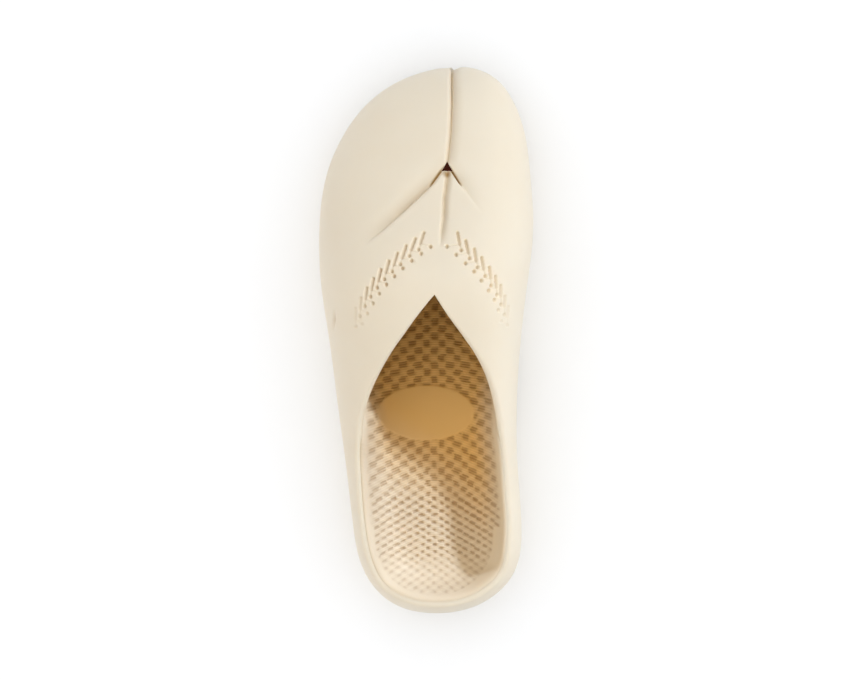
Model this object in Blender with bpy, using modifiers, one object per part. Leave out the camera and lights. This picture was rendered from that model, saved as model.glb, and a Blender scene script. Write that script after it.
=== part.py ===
"""Split-toe foam mule, the left shoe of a pair, at its real size.

+X is the medial side (big toe), +Y points to the toe and +Z is up. The shoe
stands on z = 0 with the middle of its plan at the origin. Tables are in
millimetres, with "along" from the heel end and "across" from the shoe's axis.
"""

import functools
from typing import NamedTuple

import bmesh
import bpy
import numpy as np

MM = 0.001
LATERAL, MEDIAL = -1, 1


class PlanRow(NamedTuple):
    """One line across a plan curve, in millimetres."""

    along: float
    lateral: float
    medial: float


class HeightRow(NamedTuple):
    """Heights over the ground at one place along the shoe, in millimetres."""

    along: float
    feather: float
    footbed: float
    ridge: float
    cup: float


# Widest outline of the shoe, seen from above, with the ends of its two halves.
HEEL_END = (6.2, 0.0)
TOE_END = (14.2, 280.0)
OUTLINE = (
    PlanRow(5.9, -18.2, 30.2),
    PlanRow(21.1, -31.4, 45.4),
    PlanRow(46.6, -37.5, 49.0),
    PlanRow(77.1, -41.1, 47.0),
    PlanRow(107.7, -45.2, 46.7),
    PlanRow(138.2, -49.2, 48.5),
    PlanRow(168.7, -53.8, 52.0),
    PlanRow(199.3, -54.8, 55.1),
    PlanRow(224.7, -51.3, 53.6),
    PlanRow(245.1, -42.6, 51.0),
    PlanRow(261.0, -30.5, 45.6),
    PlanRow(272.5, -14.2, 37.6),
    PlanRow(278.2, 2.0, 28.0),
)

# Edge of the upper's outer face round the foot opening, up to the throat.
COLLAR_BACK = (6.0, 4.3)
THROAT = (6.2, 162.6)
COLLAR = (
    PlanRow(8.0, -13.0, 25.0),
    PlanRow(14.0, -22.0, 34.2),
    PlanRow(22.0, -27.3, 41.0),
    PlanRow(33.0, -30.9, 43.9),
    PlanRow(46.6, -33.2, 44.7),
    PlanRow(61.8, -34.6, 43.7),
    PlanRow(77.1, -35.4, 42.6),
    PlanRow(92.4, -34.9, 41.0),
    PlanRow(107.7, -31.8, 38.7),
    PlanRow(122.9, -24.8, 34.2),
    PlanRow(138.2, -15.0, 25.4),
    PlanRow(153.5, -2.2, 12.7),
)

# Feather is the top of the sole, ridge the upper's highest line as if the
# throat were closed, and cup how far the insole's edge rises over its middle.
HEIGHTS = (
    HeightRow(0.0, 20.0, 27.0, 60.5, 14.5),
    HeightRow(31.0, 20.0, 26.0, 65.0, 15.0),
    HeightRow(62.0, 20.0, 26.5, 64.0, 14.0),
    HeightRow(92.0, 20.5, 28.5, 67.0, 11.0),
    HeightRow(123.0, 20.0, 28.5, 73.0, 8.5),
    HeightRow(153.0, 17.5, 25.0, 81.0, 6.5),
    HeightRow(168.0, 16.2, 22.8, 82.5, 5.5),
    HeightRow(190.0, 14.8, 20.8, 76.0, 4.5),
    HeightRow(215.0, 14.5, 20.2, 66.0, 3.0),
    HeightRow(245.0, 17.0, 22.4, 55.0, 2.5),
    HeightRow(280.0, 24.0, 28.5, 40.0, 2.0),
)

# The line between the two halves, as pairs of across and along.
SPINE = ((5.6, 35.0), (5.6, 120.0), (6.2, 162.6), (8.8, 189.0), (11.9, 228.0), (13.7, 252.0))
SPINE_ACROSS, SPINE_ALONG = zip(*SPINE)

# How full a section across the upper is, from the ridge and from the outline.
CROWN_FULLNESS = {LATERAL: 2.6, MEDIAL: 2.9}
WALL_STEEPNESS = 2.5

# The upper's foam wall, the gaps to what lies in it, and its upright foot.
WALL = 4.0
GAP = 0.3
INSOLE_GAP = 0.45
UPRIGHT = 3.0

# How far the sole's side leans in on its way down, and the shape of its underside.
SIDE_TUCK = 2.6
BOTTOM_CHAMFER = 1.6
HEEL_LIFT, HEEL_FLAT_START = 1.5, 12.0
ARCH_START, ARCH_END, ARCH_RISE = 82.0, 150.0, 4.0
TOE_SPRING_START, TOE_SPRING = 218.0, 8.0
LUG_DEPTH = 2.2

# The tread's grooves, in shares of the way from heel to toe.
HEEL_TREAD, WAIST, BALL_TREAD = (0.0, 0.30), (0.30, 0.56), (0.56, 1.0)
TREAD_PITCH, TREAD_GROOVE = 0.04, 0.0095
WAIST_STATIONS = 10

# The divider between the toe pods, the split over it and the hole behind it.
DIVIDER_WIDTH = 6.0
DIVIDER_BACK = 231.5
SPLIT_WIDTH, SPLIT_FOOT, SPLIT_DEPTH = 3.4, 0.5, 4.6
HOLE_TIP = (11.8, 230.0)
HOLE_BACK = 225.6
HOLE_WIDTH = 4.8

# How far the cutters reach past what they cut, and the steps of their sections.
SPLIT_PROUD, HOLE_REACH, SLOT_DROP = 1.5, 12.0, 3.0
SPLIT_STEP, DIVIDER_STEP = 4.0, 0.5

# The insole's arch support on the medial side, and how late its edge turns up.
ARCH_SUPPORT, ARCH_SUPPORT_ALONG, ARCH_SUPPORT_LENGTH = 3.0, 108.0, 42.0
INSOLE_EDGE_POWER = 3.0

# Where the shoe is sectioned: stations round it, and rows from the middle out.
HEEL_STATIONS, TOE_STATIONS = 26, 24
UPPER_ROWS = 10
UNDER_RINGS = (0.0, 0.4, 0.75, 1.0)
TOP_RINGS = (1.0, 0.5, 0.0)
INSOLE_UNDER_RINGS = (0.0, 0.5, 1.0)
INSOLE_SIDE_ROWS = (0.0, 0.35, 0.7, 1.0)
INSOLE_TOP_RINGS = (1.0, 0.92, 0.82, 0.7, 0.55, 0.35, 0.18, 0.0)

# Points closer than MERGE are one, curves are read from this many samples, and
# the insole's side is found in the outer part of the upper's sections.
MERGE = 0.01
FINE_SAMPLES = 900
OUTLINE_SAMPLES = 3600
COLUMN_SAMPLES = 160
SIDE_SHARE = 0.7

UPPER_CREAM = (0.83, 0.75, 0.6)
SOLE_CREAM = (0.8, 0.71, 0.55)
FOOTBED_CREAM = (0.72, 0.58, 0.38)
FOAM_ROUGHNESS = 0.6
SMOOTH_ANGLE = 35.0


def spline(knots, values, where):
    """The smooth curve through (knots, values), with straight ends, at each where."""
    knots, values, where = (np.asarray(item, float) for item in (knots, values, where))
    steps = np.diff(knots)
    slopes = np.diff(values) / steps
    system = np.eye(len(knots))
    bends = np.zeros(len(knots))
    for row in range(1, len(knots) - 1):
        system[row, row - 1 : row + 2] = steps[row - 1], 2 * (steps[row - 1] + steps[row]), steps[row]
        bends[row] = 6 * (slopes[row] - slopes[row - 1])
    bends = np.linalg.solve(system, bends)
    span = np.clip(np.searchsorted(knots, where) - 1, 0, len(steps) - 1)
    step = steps[span]
    after = (where - knots[span]) / step
    before = 1 - after
    bow = (before**3 - before) * bends[span] + (after**3 - after) * bends[span + 1]
    return before * values[span] + after * values[span + 1] + bow * step**2 / 6


def curve_through(points, count):
    """Samples on the smooth curve through points."""
    points = np.array(points, float)
    places = np.concatenate([[0], np.cumsum(np.hypot(*np.diff(points, axis=0).T))])
    where = np.linspace(0, places[-1], count)
    return np.stack([spline(places, points[:, axis], where) for axis in (0, 1)], axis=1)


def side_points(rows, side):
    """The plan points of one side of a table, from heel to toe."""
    return [(row.medial if side == MEDIAL else row.lateral, row.along) for row in rows]


@functools.lru_cache(maxsize=None)
def half_outline(side):
    """Samples of one side's outline from the heel end to the toe end, evenly spaced."""
    near = [HEEL_END, *side_points(OUTLINE, side), TOE_END]
    far = side_points(OUTLINE, -side)
    fine = curve_through([*far[2::-1], *near, *far[:-4:-1]], OUTLINE_SAMPLES)
    start, end = (np.argmin(np.hypot(*(fine - np.array(at)).T)) for at in (HEEL_END, TOE_END))
    fine = fine[start : end + 1]
    lengths = np.concatenate([[0], np.cumsum(np.hypot(*np.diff(fine, axis=0).T))])
    where = np.linspace(0, lengths[-1], FINE_SAMPLES)
    return np.stack([np.interp(where, lengths, fine[:, axis]) for axis in (0, 1)], axis=1)


def outline_at(side, share, inset=0.0):
    """The outline's point at a share of the way from heel to toe, moved in by inset."""
    samples = half_outline(side)
    shares = np.linspace(0, 1, len(samples))
    point = np.stack([np.interp(share, shares, samples[:, axis]) for axis in (0, 1)], axis=-1)
    run = np.gradient(samples, axis=0)
    run /= np.hypot(*run.T)[:, None]
    heading = np.stack([np.interp(share, shares, run[:, axis]) for axis in (0, 1)], axis=-1)
    inward = np.stack([-side * heading[..., 1], side * heading[..., 0]], axis=-1)
    return point + inward * np.asarray(inset)[..., None]


def spine_at(share):
    """The point of the spine that the outline's points at this share look towards."""
    along = (outline_at(LATERAL, share)[..., 1] + outline_at(MEDIAL, share)[..., 1]) / 2
    along = SPINE_ALONG[0] + (SPINE_ALONG[-1] - SPINE_ALONG[0]) * along / TOE_END[1]
    return np.stack([spline(SPINE_ALONG, SPINE_ACROSS, along), along], axis=-1)


def height(column, along):
    """One column of the table of heights, read at a place along the shoe."""
    return spline([row.along for row in HEIGHTS], [getattr(row, column) for row in HEIGHTS], along)


def ground(along):
    """Underside of the sole: flat at heel and ball, raised at the arch and the toe."""
    heel = HEEL_LIFT * np.clip(1 - along / HEEL_FLAT_START, 0, 1) ** 2
    waist = np.clip((along - ARCH_START) / (ARCH_END - ARCH_START), 0, 1)
    spring = np.clip((along - TOE_SPRING_START) / (TOE_END[1] - TOE_SPRING_START), 0, 1)
    return heel + ARCH_RISE * np.sin(np.pi * waist) ** 2 + TOE_SPRING * spring**2


@functools.lru_cache(maxsize=None)
def throat_share():
    """The share of the outline whose spine point is the throat."""
    shares = np.linspace(0, 1, FINE_SAMPLES)
    return float(np.interp(THROAT[1], spine_at(shares)[:, 1], shares))


def stations():
    """Shares of the outline at which the shoe is sectioned, one of them at the throat."""
    heel = np.linspace(0, throat_share(), HEEL_STATIONS + 1)
    toe = np.linspace(throat_share(), 1, TOE_STATIONS + 1)
    return [(share,) for share in [*heel, *toe[1:]]]


def tread_stations():
    """Shares at which the sole is sectioned, each with how far the tread is cut away there."""
    places = [(0.0, 0.0)]
    for start, end in (HEEL_TREAD, BALL_TREAD):
        for middle in np.arange(start + TREAD_PITCH / 2, end - TREAD_PITCH / 4, TREAD_PITCH):
            near, far = middle - TREAD_GROOVE / 2, middle + TREAD_GROOVE / 2
            places += [(near, 0.0), (near, LUG_DEPTH), (far, LUG_DEPTH), (far, 0.0)]
            places.append((middle + TREAD_PITCH / 2, 0.0))
        if (start, end) == HEEL_TREAD:
            places += [(share, 0.0) for share in np.linspace(*WAIST, WAIST_STATIONS)[1:-1]]
    places[-1] = (1.0, 0.0)
    return places


@functools.lru_cache(maxsize=None)
def collar_curve(side):
    """Samples of one side's collar edge, from the back of the heel to the throat."""
    far = side_points(COLLAR, -side)
    points = [*far[1::-1], COLLAR_BACK, *side_points(COLLAR, side), THROAT]
    samples = curve_through(points, FINE_SAMPLES)
    start = np.argmin(np.hypot(*(samples - np.array(COLLAR_BACK)).T))
    return samples[start:]


def opening_edge(side, share):
    """How far from the spine (0) to the outline (1) the collar lies at this share."""
    if share >= throat_share():
        return 0.0
    start, end = spine_at(share), outline_at(side, share)
    samples = collar_curve(side)
    reach = end - start
    turned = np.array([-reach[1], reach[0]])
    offsets = (samples - start) @ turned
    places = (samples - start) @ reach / (reach @ reach)
    crossings = np.flatnonzero((offsets[:-1] * offsets[1:] <= 0) & (places[:-1] > 0))
    if not len(crossings):
        return float(places[0])
    first = crossings[-1]
    ratio = offsets[first] / (offsets[first] - offsets[first + 1])
    return float(places[first] + ratio * (places[first + 1] - places[first]))


def upper_face(side, share, rho):
    """Points of the upper's outer face, rho going from the spine (0) to the outline (1)."""
    spine, outline = spine_at(share), outline_at(side, share)
    plan = spine + (outline - spine) * rho[:, None]
    bottom = height("feather", plan[:, 1]) + GAP + UPRIGHT
    full = (1 - rho ** CROWN_FULLNESS[side]) ** (1 / WALL_STEEPNESS)
    return np.column_stack([plan, bottom + (height("ridge", plan[:, 1]) - bottom) * full])


def upper_column(side, share):
    """Evenly spaced points up the outer face, from the feather edge to collar or spine."""
    edge = opening_edge(side, share)
    rho = 1 - (1 - edge) * np.linspace(0, 1, COLUMN_SAMPLES) ** 2
    fine = upper_face(side, share, rho)
    lengths = np.concatenate([[0], np.cumsum(np.linalg.norm(np.diff(fine, axis=0), axis=1))])
    where = np.linspace(0, lengths[-1], UPPER_ROWS)
    rise = np.stack([np.interp(where, lengths, fine[:, axis]) for axis in range(3)], axis=1)
    return np.array([rise[0] - (0, 0, UPRIGHT), *rise])


def inner_reach(side, share, level):
    """Where a piece inside the upper ends at a level: 1 is the outline, 0 the spine."""
    spine, outline = spine_at(share), outline_at(side, share)
    reach = np.hypot(*(outline - spine))
    inward = outline_at(side, share, 1.0) - outline
    slant = abs(inward @ (outline - spine)) / reach
    rho = 1 - SIDE_SHARE * np.linspace(0, 1, COLUMN_SAMPLES) ** 2
    fine = upper_face(side, share, rho)
    across = np.array([0.0, *(1 - rho) * reach])
    levels = np.array([fine[0, 2] - UPRIGHT, *fine[:, 2]])
    run = np.stack([np.gradient(across), np.gradient(levels)])
    run /= np.hypot(*run)
    offset = (WALL + INSOLE_GAP) / slant
    inside = np.interp(level, levels - run[0] * offset, across + run[1] * offset)
    return 1 - inside / reach


def centre():
    """The middle of the outline's box, which is the origin."""
    samples = np.concatenate([half_outline(LATERAL), half_outline(MEDIAL)])
    return np.array([*(samples.min(axis=0) + samples.max(axis=0)) / 2, 0.0])


def add_points(mesh, points):
    """New vertices at points given in millimetres from the heel end."""
    middle = centre()
    return [mesh.verts.new((np.asarray(point, float) - middle) * MM) for point in points]


def loft(mesh, rings, closed):
    """Quads between neighbouring rows of points, the rows in a ring when closed."""
    rows = [add_points(mesh, ring) for ring in rings]
    following = rows[1:] + rows[:1] if closed else rows[1:]
    for near, far in zip(rows, following):
        for first in range(len(near) - 1):
            mesh.faces.new((near[first], near[first + 1], far[first + 1], far[first]))
    return rows


def round_loft(column_at, places):
    """A mesh of columns set right round the shoe: heel, lateral side, toe, medial side."""
    lateral = [column_at(LATERAL, *place) for place in places]
    medial = [column_at(MEDIAL, *place) for place in places[1:-1]]
    mesh = bmesh.new()
    loft(mesh, lateral + medial[::-1], closed=True)
    bmesh.ops.remove_doubles(mesh, verts=mesh.verts, dist=MERGE * MM)
    return mesh


def bar_loft(sections):
    """A closed bar through sections of the same number of corners."""
    mesh = bmesh.new()
    rows = loft(mesh, [[*section, section[0]] for section in sections], closed=False)
    mesh.faces.new(rows[0][:-1])
    mesh.faces.new(rows[-1][:-1])
    bmesh.ops.remove_doubles(mesh, verts=mesh.verts, dist=MERGE * MM)
    bmesh.ops.recalc_face_normals(mesh, faces=mesh.faces)
    return mesh


def new_object(name, mesh, collection):
    """An object made from a bmesh, in a collection."""
    data = bpy.data.meshes.new(name)
    mesh.to_mesh(data)
    mesh.free()
    made = bpy.data.objects.new(name, data)
    collection.objects.link(made)
    return made


def new_cutter(name, mesh, collection):
    """A helper that the render leaves out."""
    cutter = new_object(name, mesh, collection)
    cutter.hide_render = True
    cutter.display_type = "WIRE"
    return cutter


def combine(target, tool, operation):
    """Cuts the tool from the target, or joins it to it."""
    modifier = target.modifiers.new(f"{operation.title()} {tool.name}", "BOOLEAN")
    modifier.operation = operation
    modifier.solver = "EXACT"
    modifier.object = tool


def split_path():
    """Points and outward directions up the front of the toe and back to the hole."""
    front = upper_column(LATERAL, 1.0)
    back = np.arange(SPINE[-1][1] - SPLIT_STEP, HOLE_TIP[1] - SPLIT_STEP, -SPLIT_STEP)
    ridge = [(spline(SPINE_ALONG, SPINE_ACROSS, along), along, height("ridge", along)) for along in back]
    points = np.array([*front, *ridge])
    run = np.gradient(points[:, 1:], axis=0)
    run /= np.hypot(*run.T)[:, None]
    return points, np.column_stack([np.zeros(len(run)), run[:, 1], -run[:, 0]])


def split_wedge():
    """The cutter of the split: wide at the outer face, narrow at its foot."""
    points, outward = split_path()
    points[0, 2] -= SPLIT_PROUD
    sections = []
    for point, out in zip(points, outward):
        proud, foot = point + out * SPLIT_PROUD, point - out * SPLIT_DEPTH
        wide, narrow = (SPLIT_WIDTH / 2, 0, 0), (SPLIT_FOOT / 2, 0, 0)
        sections.append([proud - wide, proud + wide, foot + narrow, foot - narrow])
    return bar_loft(sections)


def divider_bar(margin, floor_drop):
    """The wall between the toe pods, its top and front inside the upper's own wall."""
    points, outward = split_path()
    tops = []
    for point in points - outward * WALL / 2:
        if tops and point[1] > tops[-1][1] - DIVIDER_STEP:
            tops.pop()
        tops.append(point)
    back = DIVIDER_BACK - margin
    tops = [point for point in tops if point[1] > back + DIVIDER_STEP]
    tops.append(np.array([tops[-1][0], back, height("ridge", back) - WALL / 2]))
    half = DIVIDER_WIDTH / 2 + margin
    sections = []
    for across, along, top in tops:
        floor = height("feather", along) + GAP - floor_drop
        left, right = across - half, across + half
        sections.append([(left, along, floor), (right, along, floor), (right, along, top), (left, along, top)])
    return bar_loft(sections)


def hole_prism():
    """The cutter of the small arrowhead hole, right through the roof behind the split."""
    across, tip = HOLE_TIP
    plan = [(across, tip), (across - HOLE_WIDTH / 2, HOLE_BACK), (across + HOLE_WIDTH / 2, HOLE_BACK)]
    roof = height("ridge", tip)
    return bar_loft([[(*point, roof + reach) for point in plan] for reach in (-HOLE_REACH, HOLE_REACH)])


def build_upper(parts, helpers):
    """The hollow shell with its divider, split and hole."""
    upper = new_object("upper", round_loft(upper_column, stations()), parts)
    shell = upper.modifiers.new("Foam wall", "SOLIDIFY")
    shell.thickness = WALL * MM
    shell.offset = -1
    shell.use_even_offset = True
    combine(upper, new_cutter("divider", divider_bar(0, 0), helpers), "UNION")
    combine(upper, new_cutter("split", split_wedge(), helpers), "DIFFERENCE")
    combine(upper, new_cutter("hole", hole_prism(), helpers), "DIFFERENCE")
    return upper


def sole_column(side, share, cut):
    """Points from the middle of the underside, out, up the side and in over the top."""
    spine = spine_at(share)
    rim = outline_at(side, share)
    tucked = outline_at(side, share, SIDE_TUCK)
    tread = outline_at(side, share, SIDE_TUCK + BOTTOM_CHAMFER)
    under = [spine + (tread - spine) * rho for rho in UNDER_RINGS]
    over = [spine + (rim - spine) * rho for rho in TOP_RINGS]
    points = [(*plan, ground(plan[1]) + cut) for plan in under]
    points.append((*tucked, ground(tucked[1]) + max(cut, BOTTOM_CHAMFER)))
    points += [(*plan, height("feather", plan[1])) for plan in over]
    return points


def build_sole(parts):
    """The sole, its tread grooves sectioned into it."""
    return new_object("sole", round_loft(sole_column, tread_stations()), parts)


def insole_level(side, along, rho):
    """Height of the footbed: dished, with a cup at the heel and a raised arch."""
    arch = np.exp(-(((along - ARCH_SUPPORT_ALONG) / ARCH_SUPPORT_LENGTH) ** 2))
    raised = ARCH_SUPPORT * arch * rho**2 if side == MEDIAL else 0.0
    return height("footbed", along) + height("cup", along) * rho**INSOLE_EDGE_POWER + raised


def insole_column(side, share):
    """Points from the middle of the underside, out, up the side and in over the top."""
    spine, outline = spine_at(share), outline_at(side, share)

    def plan_at(rho):
        return spine + (outline - spine) * rho

    floor = height("feather", outline[1]) + GAP
    top = insole_level(side, outline[1], 1.0)
    levels = floor + (top - floor) * np.array(INSOLE_SIDE_ROWS)
    edges = [inner_reach(side, share, level) for level in levels]
    points = []
    for rho in INSOLE_UNDER_RINGS:
        plan = plan_at(rho * edges[0])
        points.append((*plan, height("feather", plan[1]) + GAP))
    for rho, rise in zip(edges[1:-1], INSOLE_SIDE_ROWS[1:-1]):
        plan = plan_at(rho)
        low, high = height("feather", plan[1]) + GAP, insole_level(side, plan[1], 1.0)
        points.append((*plan, low + (high - low) * rise))
    for rho in INSOLE_TOP_RINGS:
        plan = plan_at(rho * edges[-1])
        points.append((*plan, insole_level(side, plan[1], rho)))
    return points


def build_insole(parts, helpers):
    """The dished footbed, slotted for the divider."""
    insole = new_object("insole", round_loft(insole_column, stations()), parts)
    slot = new_cutter("divider_slot", divider_bar(GAP, SLOT_DROP), helpers)
    combine(insole, slot, "DIFFERENCE")
    return insole


def finish(piece, colour, roughness):
    """Gives a piece its own foam material and smooth shading."""
    material = bpy.data.materials.new(f"{piece.name} foam")
    material.use_nodes = True
    shader = material.node_tree.nodes["Principled BSDF"]
    shader.inputs["Base Color"].default_value = (*colour, 1)
    shader.inputs["Roughness"].default_value = roughness
    shader.inputs["Metallic"].default_value = 0.0
    material.diffuse_color = (*colour, 1)
    piece.data.materials.append(material)
    piece.data.shade_smooth()
    piece.data.set_sharp_from_angle(angle=np.radians(SMOOTH_ANGLE))


def main():
    """Clears the scene and builds the shoe."""
    for leftover in list(bpy.data.objects):
        bpy.data.objects.remove(leftover)
    parts = bpy.data.collections.new("split_toe_mule")
    helpers = bpy.data.collections.new("cutters")
    for collection in (parts, helpers):
        bpy.context.scene.collection.children.link(collection)
    finish(build_sole(parts), SOLE_CREAM, FOAM_ROUGHNESS)
    finish(build_insole(parts, helpers), FOOTBED_CREAM, FOAM_ROUGHNESS)
    finish(build_upper(parts, helpers), UPPER_CREAM, FOAM_ROUGHNESS)


main()
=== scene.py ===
"""Looks of the split-toe foam mule, the left shoe of a pair.

+X is the medial side (big toe), +Y points to the toe and +Z is up. Sizes are in
millimetres: "along" runs from the heel end to the toe, "across" from the shoe's
axis to the medial side. Blender's own lengths are metres.
"""

import logging
from collections.abc import Iterator, Sequence
from contextlib import contextmanager
from dataclasses import dataclass, field
from enum import Enum
from functools import cached_property
from typing import NamedTuple

import bpy
import numpy as np
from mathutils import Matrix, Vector
from mathutils.kdtree import KDTree


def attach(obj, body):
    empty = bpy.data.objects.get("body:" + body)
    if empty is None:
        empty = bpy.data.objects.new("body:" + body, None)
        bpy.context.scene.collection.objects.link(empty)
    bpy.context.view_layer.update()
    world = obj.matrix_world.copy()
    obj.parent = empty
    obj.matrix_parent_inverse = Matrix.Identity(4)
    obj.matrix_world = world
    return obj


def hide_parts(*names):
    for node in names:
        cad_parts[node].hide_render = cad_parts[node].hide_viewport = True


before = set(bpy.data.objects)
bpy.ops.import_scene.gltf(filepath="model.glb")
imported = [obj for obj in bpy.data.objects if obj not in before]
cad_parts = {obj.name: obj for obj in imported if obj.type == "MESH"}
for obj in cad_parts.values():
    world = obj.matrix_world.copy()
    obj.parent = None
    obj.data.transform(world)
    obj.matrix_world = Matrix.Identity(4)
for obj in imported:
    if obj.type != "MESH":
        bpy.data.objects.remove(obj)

MM = 0.001
TINY = 1e-6
STEP_ALONG = 0.02
# Weights of the usual sine scatter.
FIRST_SCATTER = 12.9898
ROW_SCATTER = 78.233
COLUMN_SCATTER = 37.719
SCATTER = 437.585
LOG = logging.getLogger("mule")
Points = np.ndarray
Path = Sequence[tuple[float, float]]


class Side(Enum):
    """A half of the shoe, with the sign of its shares of the outline."""

    LATERAL = -1
    MEDIAL = 1

    @property
    def opposite(self) -> "Side":
        """The other half."""
        return Side(-self.value)

    def line(self, rows: Sequence["PlanRow"]) -> list[tuple[float, float]]:
        """Gives this half's points of a plan curve."""
        return [(getattr(row, self.name.lower()), row.along) for row in rows]


class PlanRow(NamedTuple):
    """One line across a plan curve."""

    along: float
    lateral: float
    medial: float


class HeightRow(NamedTuple):
    """Heights over the ground at one place along the shoe."""

    along: float
    feather: float
    footbed: float
    ridge: float
    cup: float


class Stitch(NamedTuple):
    """One moulded stitch of the band: a bar from top to foot, a hole on each side of it."""

    top: tuple[float, float]
    foot: tuple[float, float]
    near: tuple[float, float]
    far: tuple[float, float]
    depth: float


class Pit(NamedTuple):
    """The weave at one place along the footbed: pitch of columns and rows, a pit's size and slant."""

    along: float
    column: float
    row: float
    length: float
    width: float
    slant: float


def spline(knots: Sequence[float], values: Sequence[float], where: Points) -> Points:
    """Reads the smooth curve through knots and values.

    Args:
        knots: Places of the values, rising.
        values: What the curve passes through.
        where: Places to read it at.

    Returns:
        The curve's values, its ends straight.
    """
    knots, values, where = (np.asarray(item, float) for item in (knots, values, where))
    steps = np.diff(knots)
    slopes = np.diff(values) / steps
    system = np.eye(len(knots))
    bends = np.zeros(len(knots))
    for row in range(1, len(knots) - 1):
        system[row, row - 1 : row + 2] = steps[row - 1], 2 * (steps[row - 1] + steps[row]), steps[row]
        bends[row] = 6 * (slopes[row] - slopes[row - 1])
    bends = np.linalg.solve(system, bends)
    span = np.clip(np.searchsorted(knots, where) - 1, 0, len(steps) - 1)
    step = steps[span]
    after = (where - knots[span]) / step
    before = 1 - after
    bow = (before**3 - before) * bends[span] + (after**3 - after) * bends[span + 1]
    return before * values[span] + after * values[span + 1] + bow * step**2 / 6


def curve_through(points: Path, count: int) -> Points:
    """Gives count evenly spaced samples on the smooth curve through points.

    Args:
        points: What the curve passes through.
        count: How many samples to give.

    Returns:
        The samples, from one end to the other.
    """
    points = np.array(points, float)
    places = lengths_along(points)
    fine = np.linspace(0, places[-1], 4 * count)
    curve = np.stack([spline(places, points[:, axis], fine) for axis in (0, 1)], axis=1)
    return resampled(curve, count)


def lengths_along(points: Points) -> Points:
    """Gives the length of a line of points up to each of them."""
    return np.concatenate([[0.0], np.cumsum(np.linalg.norm(np.diff(points, axis=0), axis=1))])


def read_line(where: Points, knots: Points, points: Points) -> Points:
    """Reads a line of points, known at rising knots, at other places."""
    return np.stack([np.interp(where, knots, axis) for axis in points.T], axis=-1)


def resampled(points: Points, count: int) -> Points:
    """Gives count points evenly spaced along a line of points."""
    lengths = lengths_along(points)
    return read_line(np.linspace(0, lengths[-1], count), lengths, points)


def ease(share: Points) -> Points:
    """Goes from 0 to 1 with level ends, as share does from 0 to 1."""
    share = np.clip(share, 0, 1)
    return share * share * (3 - 2 * share)


def scattered(first: Points, second: Points, weight: float) -> Points:
    """Gives steady numbers from -0.5 to 0.5, with no visible order, for pairs of whole numbers."""
    value = np.sin(FIRST_SCATTER * first + weight * second) * SCATTER
    return value - np.floor(value) - 0.5


def unit(vectors: Points) -> Points:
    """Scales vectors to a length of one."""
    return vectors / np.maximum(np.linalg.norm(vectors, axis=-1, keepdims=True), 1e-12)


def distance_to(path: Path, points: Points) -> tuple[Points, Points]:
    """Measures points against a line in the plan.

    Args:
        path: Corners of the line.
        points: Places in the plan.

    Returns:
        The distance of each point, and how far along the line its nearest place is, from 0 to 1.
    """
    corners = np.array(path, float)
    starts = lengths_along(corners)
    nearest = np.full(len(points), np.inf)
    share = np.zeros(len(points))
    for index, (start, end) in enumerate(zip(corners[:-1], corners[1:])):
        run = end - start
        along = np.clip((points - start) @ run / (run @ run), 0, 1)
        away = np.linalg.norm(points - start - along[:, None] * run, axis=1)
        closer = away < nearest
        nearest[closer] = away[closer]
        share[closer] = (starts[index] + along[closer] * np.linalg.norm(run)) / starts[-1]
    return nearest, share


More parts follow.
